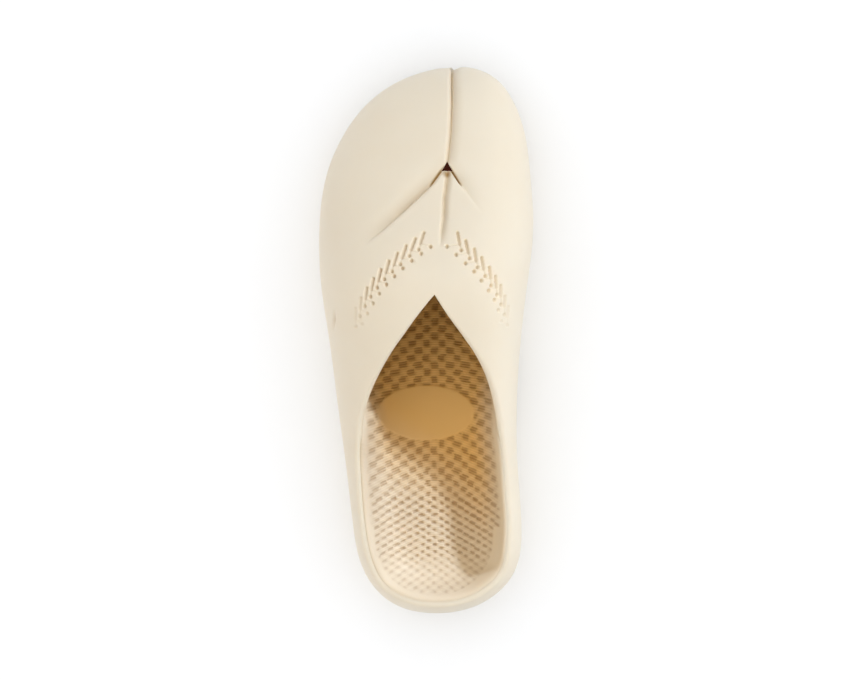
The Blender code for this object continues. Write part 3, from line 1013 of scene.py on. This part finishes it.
@dataclass
class Upper:
    """The hollow foam upper: toe pods, band, flanks and heel rim in one closed shell."""

    relief: UpperRelief = UpperRelief()
    hole: Hole = Hole()
    foam: Foam = Foam("EVA foam, smooth moulded", "#F1EBDD", "#EDE4D3")
    half_columns: int = 310
    outer_rows: int = 70
    lip_rows: int = 8
    inner_rows: int = 16
    foot_rise: float = 0.02
    lip_reach: float = 1.9
    lip_taper: float = 0.075
    lip_least: float = 0.12
    share_step: float = 1e-3
    ridge_step: float = 0.1
    rise_end: float = 0.999
    apex_fade: float = 0.012
    apex_direction: tuple[float, float, float] = (0.0, -1.0, -0.25)

    @property
    def rows(self) -> int:
        """Rows round the shell, the last one closing its foot."""
        return self.outer_rows + self.lip_rows + self.inner_rows + 1

    @property
    def throat_column(self) -> int:
        """The column that stands on the throat."""
        return round(LAST.throat_share * self.half_columns)

    def share_of(self, across: Points) -> Points:
        """Gives the signed share of the outline for a place across the flat sheet."""
        knots = [0, self.throat_column / self.half_columns, 1]
        return np.sign(across) * np.interp(np.abs(across), knots, [0, LAST.throat_share, 1])

    def shell_points(self, share: Points, row: Points) -> Points:
        """Gives the shell's points before its creases.

        Args:
            share: Signed shares of the outline.
            row: How far round the shell's section, in rows.

        Returns:
            The points in millimetres from the heel end.
        """
        lip_start, lip_end = self.outer_rows, self.outer_rows + self.lip_rows
        inner_end = lip_end + self.inner_rows
        outer = np.clip(row / lip_start, 0, 1)
        inner = np.clip((inner_end - row) / self.inner_rows, 0, 1)
        rise = np.where(row <= lip_start, outer, np.where(row < lip_end, 1.0, inner))
        rise = np.where(row > inner_end, 0.0, rise)
        rise = (rise - self.foot_rise) / (1 - self.foot_rise)
        rise = np.where(rise < 0, rise * (1 - self.foot_rise) / self.foot_rise, rise)
        point = LAST.skin(share, rise)
        normal = self.shell_normals(share, rise)
        turn = np.pi * np.clip((row - lip_start) / self.lip_rows, 0, 1)
        depth = LAST.wall * (1 - np.cos(turn)) / 2
        depth = np.where(row > inner_end, LAST.wall * (inner_end + 1 - row), depth)
        towards = self.opening_directions(share)
        clear = np.clip((LAST.throat_share - np.abs(share)) / self.lip_taper, self.lip_least, 1)
        reach = self.lip_reach * clear * np.sin(turn)
        return point - normal * depth[:, None] + towards * reach[:, None]

    def shell_normals(self, share: Points, rise: Points) -> Points:
        """Gives the outward directions, level across the spine so that both halves meet.

        Args:
            share: Signed shares of the outline.
            rise: How far up the face, from 0 to 1.

        Returns:
            Directions of length one.
        """
        normal = LAST.skin_normal(share, rise)
        past = (np.abs(share) >= LAST.throat_share - TINY) & (rise > self.rise_end)
        along, step = LAST.spine(share[past])[:, 1], self.ridge_step
        slope = (LAST.height("ridge", along + step) - LAST.height("ridge", along - step)) / (2 * step)
        normal[past] = unit(np.stack([np.zeros(len(slope)), -slope, np.ones(len(slope))], axis=1))
        toe = np.abs(share) > 1 - TINY
        normal[toe, 0] = 0.0
        return unit(normal)

    def opening_directions(self, share: Points) -> Points:
        """Gives the direction in the face, square to the collar, that points into the opening.

        Args:
            share: Signed shares of the outline.

        Returns:
            Directions of length one.
        """
        ends, step = LAST.throat_share, self.share_step
        held = np.clip(share, -ends + 2 * step, ends - 2 * step)
        ones = np.ones(len(share))
        run = LAST.skin(held + step, ones) - LAST.skin(held - step, ones)
        normal = LAST.skin_normal(held, ones)
        towards = unit(np.cross(normal, run))
        inward = np.concatenate([LAST.spine(held) - LAST.outline(held), np.zeros((len(held), 1))], axis=1)
        towards *= np.sign((towards * inward).sum(axis=1))[:, None]
        apex = ease((np.abs(share) - ends + self.apex_fade) / self.apex_fade)[:, None]
        return unit(towards * (1 - apex) + np.array(self.apex_direction) * apex)

    def build(self) -> bpy.types.Object:
        """Moulds the upper from one sheet.

        Returns:
            The piece, without its finish.
        """
        piece = add_sheet("upper_foam_shell", 2 * self.half_columns, self.rows)
        middles = face_middles(piece)
        share = self.share_of(middles[:, 0])
        row = (middles[:, 1] + 1) / 2 * self.rows
        outer = (row < self.outer_rows) & (row > 1)
        chosen = np.zeros(len(share), bool)
        for mirrored in (1, -1):
            plan = self.shell_points(mirrored * share[outer], row[outer])[:, :2]
            chosen[outer] |= self.relief.fine_places(plan)
        select_faces(piece, chosen)
        with editing(piece):
            bpy.ops.mesh.subdivide(number_cuts=2)
        middles = face_middles(piece)
        row = (middles[:, 1] + 1) / 2 * self.rows
        closed = np.abs(self.share_of(middles[:, 0])) > LAST.throat_share
        lip = (row > self.outer_rows) & (row < self.outer_rows + self.lip_rows)
        select_faces(piece, closed & lip)
        with editing(piece):
            bpy.ops.mesh.delete(type="FACE")
        flat = points_of(piece)
        share = self.share_of(flat[:, 0])
        row = (flat[:, 1] + 1) / 2 * self.rows
        keep_value(piece, "row", row)
        set_points(piece, to_frame(self.shell_points(share, row)))
        weld(piece)
        self.press(piece)
        self.cut_hole(piece)
        return piece

    def press(self, piece: bpy.types.Object) -> None:
        """Presses the creases, slits and stitches into the outer face.

        Args:
            piece: The smooth upper.
        """
        points, row = points_of(piece), kept_value(piece, "row")
        outer = row < self.outer_rows + 0.5
        plan = to_plan(points[outer])[:, :2]
        depth = self.relief.depth(plan)
        points[outer] -= normals_of(piece)[outer] * depth[:, None] * MM
        set_points(piece, points)
        # Painted shade in the creases, cuts and stitches, and round the hole on the outer face.
        painted_recess_shade = np.zeros(len(points))
        painted_recess_shade[outer] = self.relief.painted_recess_shade(plan)
        keep_value(piece, "pressed", painted_recess_shade)
        # Painted shade round the hole on the inner faces.
        keep_value(piece, "painted_hole_shade", self.hole.shade(to_plan(points)) * ~outer)

    def cut_hole(self, piece: bpy.types.Object) -> None:
        """Cuts the arrowhead hole through the roof behind the split.

        Args:
            piece: The upper, already pressed.
        """
        across, tip = self.hole.tip
        roof = float(LAST.height("ridge", np.array(tip)))
        bpy.ops.object.select_all(action="DESELECT")
        bpy.ops.mesh.primitive_cylinder_add(vertices=3, radius=1, depth=2)
        cutter = bpy.context.active_object
        points = points_of(cutter)
        order = np.argsort(-points[:, 1])
        front = points[order[0], 1]
        forward = points[:, 1] > front - 0.1
        placed = np.zeros_like(points)
        placed[:, 0] = across + np.where(forward, 0, np.sign(points[:, 0]) * self.hole.width / 2)
        placed[:, 1] = np.where(forward, tip, self.hole.back)
        placed[:, 2] = roof + np.sign(points[:, 2]) * self.hole.reach
        set_points(cutter, to_frame(placed))
        weld(cutter)
        cut = piece.modifiers.new("hole", "BOOLEAN")
        cut.operation = "DIFFERENCE"
        cut.solver = "EXACT"
        cut.object = cutter
        bpy.context.view_layer.objects.active = piece
        bpy.ops.object.modifier_apply(modifier=cut.name)
        bpy.data.objects.remove(cutter)

    def make(self) -> bpy.types.Object:
        """Builds and dresses the upper.

        Returns:
            The finished piece.
        """
        piece = self.build()
        dress(piece, self.foam, "upper")
        return piece


@dataclass
class Footbed:
    """The dished footbed, moulded with a woven-mat pattern and a bare oval."""

    upper: Upper = field(default_factory=Upper)
    # The footbed's painted recess shade is browner and its painted warm shade more golden.
    foam: Foam = Foam("EVA foam, woven-mat moulded", "#EEE9DC", "#E9E1CF",
                      painted_recess_shade="#845E24", painted_warm_shade="#EFCB86")
    columns: int = 160
    weave_rows: int = 540
    front_rows: int = 24
    under_columns: int = 6
    weave_end: float = 176.0
    gap: float = 0.45
    roof_gap: float = 0.6
    lip_place: float = 0.55
    lip_gap: float = 0.1
    lip_end: float = 84.0
    lip_fade: float = 46.0
    bowl_width: float = 7.0
    bowl_power: float = 2.6
    arch_rise: float = 3.0
    arch_along: float = 108.0
    arch_length: float = 42.0
    arch_side: float = 0.3
    arch_slope: float = 1.2
    crowding: float = 0.25
    badge: tuple[float, float] = (0.4, 102.8)
    badge_half: tuple[float, float] = (23.8, 13.6)
    badge_proud: float = 0.25
    badge_edge: float = 12.0
    pit_depth: float = 0.95
    fraying: float = 1.3
    pit_ribs: float = 0.65
    pit_corner: float = 0.4
    pit_edge: float = 0.8
    unevenness: float = 0.5
    swell: float = 0.35
    rib_pitch: float = 1.2
    rib_depth: float = 0.26
    margin: float = 2.4
    margin_fade: float = 2.4
    front_from: float = 4.0
    front_fade: float = 3.0
    middle_half: float = 3.0
    middle_fade: float = 9.0
    middle_length: float = 0.75
    middle_width: float = 1.2
    line_round: float = 5.0
    faint: float = 0.35
    faint_until: float = 24.0
    faint_fade: float = 8.0
    dash_width: float = 1.4
    dash_fade: float = 0.7
    # Where the painted warm shade falls on the footbed, and how much painted shade the weave's pits get.
    golden_from: float = 45.0
    golden_run: float = 55.0
    golden_slant: float = 0.6
    golden_edge: float = 15.0
    pit_tint: float = 0.5
    golden_tint: float = 0.2
    heel_across: float = 4.5
    heel_half: float = 31.0
    heel_from: float = 45.0
    heel_run: float = 35.0
    heel_power: float = 2.6
    heel_fade: float = 1.5
    table_end: float = 290.0
    table_step: float = 0.1
    edge_steps: int = 60
    share_steps: int = 400
    pits: tuple[Pit, ...] = (
        Pit(8.0, 3.0, 2.0, 1.9, 1.2, 22.0),
        Pit(27.0, 3.1, 1.9, 1.9, 1.1, 22.0),
        Pit(31.0, 3.2, 1.85, 2.2, 1.05, 24.0),
        Pit(45.0, 3.25, 1.9, 2.5, 1.15, 26.0),
        Pit(57.0, 3.4, 2.1, 2.8, 1.4, 26.0),
        Pit(64.0, 3.7, 2.9, 3.1, 2.4, 24.0),
        Pit(72.0, 3.9, 3.4, 3.4, 3.2, 22.0),
        Pit(97.0, 4.0, 3.7, 3.6, 3.2, 16.0),
        Pit(115.0, 4.0, 3.7, 3.9, 2.9, 10.0),
        Pit(180.0, 4.0, 3.7, 3.9, 2.7, 5.0),
    )

    @cached_property
    def edge(self) -> tuple[Points, Points]:
        """The footbed's top edge: under the rim's lip, then inside the band.

        Returns:
            Signed shares of the outline, and the edge's points.
        """
        shares = LAST.table_shares
        rises = np.linspace(0, 1, self.edge_steps)
        found = np.zeros((len(shares), 3))
        for index, share in enumerate(shares):
            line = np.full(len(rises), share)
            inner = LAST.skin(line, rises) - LAST.skin_normal(line, rises) * (LAST.wall + self.gap)
            along = LAST.outline(share)[1]
            cup = float(LAST.height("footbed", along) + LAST.height("cup", along))
            top = min(cup + self.arch(share, along), inner[:, 2].max() - self.roof_gap)
            rise = max(int(np.argmax(inner[:, 2] >= top)), 1)
            part = (top - inner[rise - 1, 2]) / (inner[rise, 2] - inner[rise - 1, 2])
            found[index] = inner[rise - 1] + (inner[rise] - inner[rise - 1]) * np.clip(part, 0, 1)
        row = np.full(len(shares), self.upper.outer_rows + self.upper.lip_rows * self.lip_place)
        lip = self.upper.shell_points(shares, row)
        lip += self.upper.opening_directions(shares) * self.lip_gap
        away = ease((LAST.outline(shares)[:, 1] - self.lip_end) / self.lip_fade)[:, None]
        edge = lip * (1 - away) + found * away
        edge[0] = edge[-1] = (edge[0] + edge[-1]) / 2
        return shares, edge

    def arch(self, side: Points, along: Points) -> Points:
        """Gives the rise of the arch support towards the medial side."""
        lift = np.exp(-(((along - self.arch_along) / self.arch_length) ** 2))
        return self.arch_rise * lift * ease((side + self.arch_side) * self.arch_slope)

    def share_of(self, along: Points) -> Points:
        """Gives the share of the outline for a place along the flat sheet.

        Args:
            along: From -1 at the heel to 1 at the toe.

        Returns:
            Shares of the outline.
        """
        total = self.weave_rows + self.front_rows
        fine = np.linspace(0, 1, self.share_steps)
        places = self.edge_at(fine)[:, 1]
        end = float(np.interp(self.weave_end, places, fine))
        return np.interp((along + 1) / 2, [0, self.weave_rows / total, 1], [0, end, 1])

    def edge_at(self, share: Points) -> Points:
        """Reads the top edge at signed shares."""
        shares, points = self.edge
        return read_line(share, shares, points)

    def surface(self, across: Points, share: Points) -> Points:
        """Gives the footbed's smooth surface.

        Args:
            across: From -1 at the lateral edge to 1 at the medial edge.
            share: Share of the outline from heel to toe.

        Returns:
            The points in millimetres from the heel end.
        """
        lateral, medial = self.edge_at(-share), self.edge_at(share)
        point = lateral + (medial - lateral) * ((across + 1) / 2)[:, None]
        away, edge_level = self.to_edge(point)
        along = point[:, 1]
        rising = 1 / (1 + (away / self.bowl_width) ** self.bowl_power)
        floor = LAST.height("footbed", along) + self.arch(across, along)
        point[:, 2] = floor + (edge_level - floor) * rising
        return point

    def to_edge(self, point: Points) -> tuple[Points, Points]:
        """Measures places in the plan against the footbed's edge.

        Args:
            point: The places.

        Returns:
            How far each is from the edge, and how high the edge is at the nearest point.
        """
        nearest = [self.edge_tree.find((place[0], place[1], 0.0)) for place in point]
        away = np.array([found[2] for found in nearest])
        return away, self.edge[1][[found[1] for found in nearest], 2]

    @cached_property
    def edge_tree(self) -> KDTree:
        """The footbed's edge in the plan.

        Returns:
            The tree that finds its nearest point.
        """
        tree = KDTree(len(self.edge[1]))
        for index, place in enumerate(self.edge[1]):
            tree.insert((place[0], place[1], 0.0), index)
        tree.balance()
        return tree

    def weave_depth(self, plan: Points, away: Points) -> Points:
        """Gives how deep the weave is pressed at places in the plan.

        Args:
            plan: Places in the plan.
            away: Distance of each place from the footbed's edge.

        Returns:
            Depths in millimetres.
        """
        knots = [row.along for row in self.pits]

        def read(name: str, along: Points) -> Points:
            """Reads one column of the table of pits."""
            return np.interp(along, knots, [getattr(row, name) for row in self.pits])

        step = self.table_step
        fine = np.linspace(0, self.table_end, round(self.table_end / step) + 1)
        rows = np.concatenate([[0], np.cumsum(step / read("row", fine[:-1] + step / 2))])
        along = plan[:, 1]
        across = plan[:, 0] - self.heel_across
        aside = ease((np.abs(across) - self.middle_half) / self.middle_fade)
        slope = np.tan(np.radians(read("slant", along)))
        half_length = read("length", along) * (self.middle_length + (1 - self.middle_length) * aside) / 2
        half_width = read("width", along) * (self.middle_width + (1 - self.middle_width) * aside) / 2
        pitch = read("column", along)
        column = across / pitch
        row = np.interp(along, fine, rows)
        lines = along + slope * np.hypot(across, self.line_round)
        stroke = np.floor(lines / self.rib_pitch)
        depth = np.zeros(len(plan))
        for column_step in (-1, 0, 1):
            for row_step in (-2, -1, 0, 1, 2):
                near_column = np.round(column) + column_step
                near_row = np.round(row) + row_step
                there = (near_column + near_row) % 2 == 0
                uneven = scattered(near_column, near_row, ROW_SCATTER)
                frayed = scattered(stroke, near_column, COLUMN_SCATTER)
                side_step = (column - near_column) * pitch + self.unevenness * uneven + self.fraying * frayed
                front_step = along - np.interp(near_row, rows, fine)
                front_step = front_step + np.sign(across) * slope * aside * side_step
                reach_long = np.abs(side_step) - half_length * (1 + self.unevenness * uneven)
                reach_long = reach_long + self.pit_corner
                reach_short = np.abs(front_step) - half_width + self.pit_corner
                outside = np.hypot(np.maximum(reach_long, 0), np.maximum(reach_short, 0))
                inside = np.minimum(np.maximum(reach_long, reach_short), 0)
                pressed = 1 - ease((outside + inside - self.pit_corner + self.pit_edge / 2) / self.pit_edge)
                pressed = pressed * there * (1 - self.unevenness * np.abs(uneven))
                depth = np.maximum(depth, pressed)
        soft = self.faint + (1 - self.faint) * ease((along - self.faint_until) / self.faint_fade)
        rib = 0.5 - 0.5 * np.cos(2 * np.pi * lines / self.rib_pitch)
        fine_pits = ease((read("width", along) - self.dash_width) / self.dash_fade)
        swell = self.swell * (0.5 + 0.5 * np.cos(np.pi * column) * np.cos(np.pi * row))
        heel = np.clip((self.heel_from - along) / self.heel_run, 0, 1) ** self.heel_power
        side = self.heel_half * np.sqrt(1 - heel) - np.abs(plan[:, 0] - self.heel_across)
        inside = ease((away - self.margin) / self.margin_fade)
        inside = inside * np.where(along < self.heel_from, ease(side / self.heel_fade), 1.0)
        dashes = 1 - self.pit_ribs * fine_pits * (1 - rib)
        deep = self.pit_depth * soft * depth * dashes + self.rib_depth * (1 - depth) * rib * soft + swell
        return deep * inside

    def build(self) -> bpy.types.Object:
        """Moulds the footbed from one sheet, then closes it underneath.

        Returns:
            The piece, without its finish.
        """
        total = self.columns + self.under_columns
        piece = add_sheet("footbed_foam_mat", total, self.weave_rows + self.front_rows)
        flat = points_of(piece)
        column = np.round((flat[:, 0] + 1) / 2 * total)
        across = np.clip(2 * column / self.columns - 1, -1, 1)
        across = np.where(column == total, -1, across)
        across = np.sin(across * np.pi / 2) * self.crowding + across * (1 - self.crowding)
        share = self.share_of(flat[:, 1])
        point = self.surface(across, share)
        away = self.to_edge(point)[0]
        oval = np.hypot(*((point[:, :2] - self.badge) / self.badge_half).T)
        bare = 1 - ease((oval - 1) * self.badge_edge)
        depth = self.weave_depth(point[:, :2], away) * (1 - bare)
        depth *= 1 - ease((point[:, 1] - self.weave_end + self.front_from) / self.front_fade)
        point[:, 2] += self.badge_proud * bare - depth
        under = (column > self.columns) & (column < total)
        point[under] = self.underside(share[under], column[under] - self.columns)
        # Painted warm shade: bounced light in the shade, towards the front and the medial side and away from
        # the edge.
        painted_warm_shade = ease((point[:, 1] + self.golden_slant * point[:, 0] - self.golden_from) / self.golden_run)
        painted_warm_shade = painted_warm_shade * ease(away / self.golden_edge)
        # Painted shade in the weave's pits, stronger where the warm shade is.
        tint = self.pit_tint + self.golden_tint * painted_warm_shade
        keep_value(piece, "painted_warm_shade", painted_warm_shade)
        keep_value(piece, "pressed", tint * np.clip(depth / self.pit_depth, 0, 1))
        # Painted shade round the hole, on the footbed under the toes.
        keep_value(piece, "painted_hole_shade", self.upper.hole.shade(point))
        set_points(piece, to_frame(point))
        weld(piece, 0.001)
        return piece

    def underside(self, share: Points, step: Points) -> Points:
        """Gives the footbed's underside, which lies on the sole.

        Args:
            share: Share of the outline from heel to toe.
            step: Columns past the medial edge, the first under it and the last under the lateral one.

        Returns:
            The points in millimetres from the heel end.
        """
        part = ((self.under_columns / 2 - step) / (self.under_columns / 2 - 1))[:, None]
        spine = LAST.spine(share)
        side = np.where(part >= 0, 1.0, -1.0)[:, 0]
        foot = LAST.outline(share * side, LAST.wall + self.gap + LAST.gap)
        plan = spine + (foot - spine) * np.abs(part)
        level = LAST.height("feather", LAST.outline(share * side)[:, 1]) + LAST.gap
        return np.column_stack([plan, level])

    def make(self) -> bpy.types.Object:
        """Builds and dresses the footbed.

        Returns:
            The finished piece.
        """
        piece = self.build()
        dress(piece, self.foam, "insole")
        return piece


@dataclass
class Sole:
    """The foam sole: rounded side, arch, toe spring and a tread of cross grooves."""

    foam: Foam = Foam("EVA foam, sole moulded", "#F0E9DA", "#EBE2D0")
    half_columns: int = 360
    tuck: float = 2.6
    edge_round: float = 3.0
    heel_lift: float = 1.5
    heel_flat: float = 12.0
    arch_start: float = 82.0
    arch_end: float = 150.0
    arch_rise: float = 4.0
    spring_start: float = 218.0
    spring: float = 8.0
    notch_depth: float = 1.5
    notch_width: float = 0.02
    lug_depth: float = 2.2
    groove_pitch: float = 0.04
    groove_width: float = 0.0095
    groove_floor: float = 0.35
    groove_slope: float = 0.4
    treads: tuple[tuple[float, float], ...] = ((0.0, 0.30), (0.56, 1.0))
    under_rows: int = 14
    round_rows: int = 6
    side_rows: int = 8
    over_rows: int = 6

    def ground(self, along: Points) -> Points:
        """Gives the underside's height: flat at heel and ball, raised at the arch and the toe.

        Args:
            along: Places from the heel end.

        Returns:
            Heights in millimetres.
        """
        heel = self.heel_lift * np.clip(1 - along / self.heel_flat, 0, 1) ** 2
        waist = np.clip((along - self.arch_start) / (self.arch_end - self.arch_start), 0, 1)
        spring = np.clip((along - self.spring_start) / (LAST.toe_end[1] - self.spring_start), 0, 1)
        return heel + self.arch_rise * np.sin(np.pi * waist) ** 2 + self.spring * spring**2

    def tread(self, share: Points) -> Points:
        """Gives how far the tread is cut away at shares of the outline.

        Args:
            share: Shares of the outline.

        Returns:
            Depths in millimetres.
        """
        cut = np.zeros(len(share))
        for start, end in self.treads:
            inside = (share > start) & (share < end)
            middle = np.abs((share - start) % self.groove_pitch - self.groove_pitch / 2)
            groove = 1 - ease((middle / self.groove_width - self.groove_floor) / self.groove_slope)
            cut += self.lug_depth * groove * inside
        return cut

    def build(self) -> bpy.types.Object:
        """Moulds the sole from one sheet.

        Returns:
            The piece, without its finish.
        """
        rows = self.under_rows + self.round_rows + self.side_rows + self.over_rows
        piece = add_sheet("sole_foam_unit", 2 * self.half_columns, rows)
        flat = points_of(piece)
        share, row = flat[:, 0], (flat[:, 1] + 1) / 2 * rows
        under = np.clip(row / self.under_rows, 0, 1)
        turn = np.clip((row - self.under_rows) / self.round_rows, 0, 1) * np.pi / 2
        climb = np.clip((row - self.under_rows - self.round_rows) / self.side_rows, 0, 1)
        over = np.clip((row - rows + self.over_rows) / self.over_rows, 0, 1)
        inset = self.tuck * (1 - climb) + self.edge_round * (1 - np.sin(turn))
        shares, points = LAST.halves
        rim = read_line(share, shares, points)
        inward = LAST.outline(share, 1.0) - rim
        spine = LAST.spine(share)
        notch = self.notch_depth * (1 - ease((1 - np.abs(share)) / self.notch_width)) * (climb > 0)
        edge = rim + inward * (inset + notch)[:, None]
        reach = np.where(row < self.under_rows, under, 1 - over)
        plan = spine + (edge - spine) * reach[:, None]
        low = self.ground(plan[:, 1])
        top = LAST.height("feather", plan[:, 1])
        foot = low + self.edge_round * (1 - np.cos(turn))
        level = foot + (top - foot) * climb
        cut = self.tread(np.abs(share)) * (row <= self.under_rows + 0.1)
        level = np.where(climb > 0, level, np.maximum(foot, low + cut))
        set_points(piece, to_frame(np.column_stack([plan, level])))
        weld(piece)
        return piece

    def make(self) -> bpy.types.Object:
        """Builds and dresses the sole.

        Returns:
            The finished piece.
        """
        piece = self.build()
        dress(piece, self.foam, "sole")
        return piece


@dataclass(frozen=True)
class Paper:
    """Seamless studio paper, pulp pressed to a sheet and left uncoated."""

    colour: str = "#F4F4F3"
    fibre: float = 2.0
    fibre_depth: float = 0.02
    fibre_strength: float = 0.1
    roughness: float = 0.9

    def material(self) -> bpy.types.Material:
        """Makes the material.

        Returns:
            The material.
        """
        made = bpy.data.materials.new("Seamless paper, matte white")
        made.use_nodes = True
        tree = made.node_tree
        shader = tree.nodes["Principled BSDF"]
        place = add_node(tree, "ShaderNodeTexCoord").outputs["Object"]
        # Pressed fibres give the eye a dull face with no gloss.
        fibre = add_node(tree, "ShaderNodeTexNoise", {}, {
            "Vector": place, "Scale": 1 / (self.fibre * MM), "Detail": 3.0})
        relief = add_node(tree, "ShaderNodeBump", {}, {
            "Height": fibre.outputs["Fac"], "Strength": self.fibre_strength,
            "Distance": self.fibre_depth * MM})
        tree.links.new(relief.outputs["Normal"], shader.inputs["Normal"])
        shader.inputs["Base Color"].default_value = (*linear(self.colour), 1)
        shader.inputs["Roughness"].default_value = self.roughness
        return made


class Lit(Enum):
    """What a light falls on."""

    SHELL = "sole and upper"
    FOOTBED = "footbed"
    FLOOR = "floor"


@dataclass(frozen=True)
class Lamp:
    """A distant light, with the direction it comes from and how wide it looks, in degrees."""

    name: str
    lit: Lit
    azimuth: float
    elevation: float
    strength: float
    spread: float
    colour: str


@dataclass
class Studio:
    """A pale floor, separate lights for shell, footbed and floor, and the camera over the shoe."""

    centre_height: float = 0.04
    camera_offset: float = 0.0603
    camera_height: float = 1.8
    lens: float = 146.5
    sensor: float = 36.0
    lamps: tuple[Lamp, ...] = (
        Lamp("key light", Lit.SHELL, 58.0, 36.0, 0.85, 5.0, "#F0F7FF"),
        Lamp("footbed key light", Lit.FOOTBED, 43.0, 31.5, 2.2, 5.0, "#F0F7FF"),
        Lamp("lateral light", Lit.SHELL, 190.0, 12.0, 1.0, 24.0, "#FFF3E2"),
        Lamp("medial light", Lit.SHELL, 345.0, 62.0, 1.9, 90.0, "#FFF9EE"),
        Lamp("footbed wall light", Lit.FOOTBED, 195.0, 35.0, 0.55, 90.0, "#FFF3E2"),
        Lamp("soft dome", Lit.SHELL, 90.0, 89.0, 0.5, 150.0, "#FFF3E2"),
        Lamp("warm glow", Lit.FOOTBED, 90.0, 89.0, 1.45, 150.0, "#FFDCAE"),
        Lamp("floor dome", Lit.FLOOR, 90.0, 89.0, 3.5, 150.0, "#FBFCFF"),
    )
    lamp_distance: float = 2.0
    room_strength: float = 0.08
    floor_size: float = 8.0
    paper: Paper = Paper()

    def floor(self) -> bpy.types.Object:
        """Lays the floor.

        Returns:
            The floor.
        """
        bpy.ops.object.select_all(action="DESELECT")
        bpy.ops.mesh.primitive_plane_add(size=self.floor_size)
        piece = bpy.context.active_object
        piece.name = "studio_floor"
        piece.data.materials.append(self.paper.material())
        return piece

    def hang(self, lamp: Lamp, receivers: Sequence[bpy.types.Object]) -> None:
        """Adds a distant light that falls only on its receivers.

        Args:
            lamp: The light.
            receivers: What it lights.
        """
        data = bpy.data.lights.new(lamp.name, "SUN")
        data.energy = lamp.strength
        data.angle = np.radians(lamp.spread)
        data.color = linear(lamp.colour)
        sun = bpy.data.objects.new(lamp.name, data)
        bpy.context.scene.collection.objects.link(sun)
        turn, rise = np.radians(lamp.azimuth), np.radians(lamp.elevation)
        towards = Vector((np.cos(turn) * np.cos(rise), np.sin(turn) * np.cos(rise), np.sin(rise)))
        sun.location = towards * self.lamp_distance
        sun.rotation_mode = "QUATERNION"
        sun.rotation_quaternion = towards.to_track_quat("Z", "Y")
        lit = bpy.data.collections.new(f"lit by {lamp.name}")
        for piece in receivers:
            lit.objects.link(piece)
        sun.light_linking.receiver_collection = lit

    def world(self) -> None:
        """Fills the room with soft light."""
        world = bpy.data.worlds.new("studio")
        bpy.context.scene.world = world
        world.use_nodes = True
        back = world.node_tree.nodes["Background"]
        back.inputs["Color"].default_value = (1, 1, 1, 1)
        back.inputs["Strength"].default_value = self.room_strength

    def camera(self) -> None:
        """Hangs the camera over the shoe, looking down."""
        data = bpy.data.cameras.new("camera")
        data.sensor_width = self.sensor
        data.lens = self.lens
        data.clip_end = 20
        lens = bpy.data.objects.new("camera", data)
        bpy.context.scene.collection.objects.link(lens)
        lens.location = (self.camera_offset, 0.0, self.camera_height)
        lean = np.arctan2(self.camera_offset, self.camera_height - self.centre_height)
        lens.rotation_euler = (0.0, lean, 0.0)
        bpy.context.scene.camera = lens

    def build(self, pieces: Sequence[bpy.types.Object]) -> None:
        """Sets up the studio round the shoe.

        Args:
            pieces: The sole, the footbed and the upper.
        """
        floor = self.floor()
        sole, footbed, upper = pieces
        receivers = {Lit.SHELL: [sole, upper], Lit.FOOTBED: [footbed], Lit.FLOOR: [floor]}
        for lamp in self.lamps:
            self.hang(lamp, receivers[lamp.lit])
        self.world()
        self.camera()
        bpy.context.scene.view_settings.view_transform = "Standard"


def main() -> None:
    """Builds the shoe in order, then the studio."""
    logging.basicConfig(level=logging.INFO, format="%(message)s")
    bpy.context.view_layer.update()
    pieces = [Sole().make(), Footbed().make(), Upper().make()]
    Studio().build(pieces)


if __name__ == "__main__":
    main()
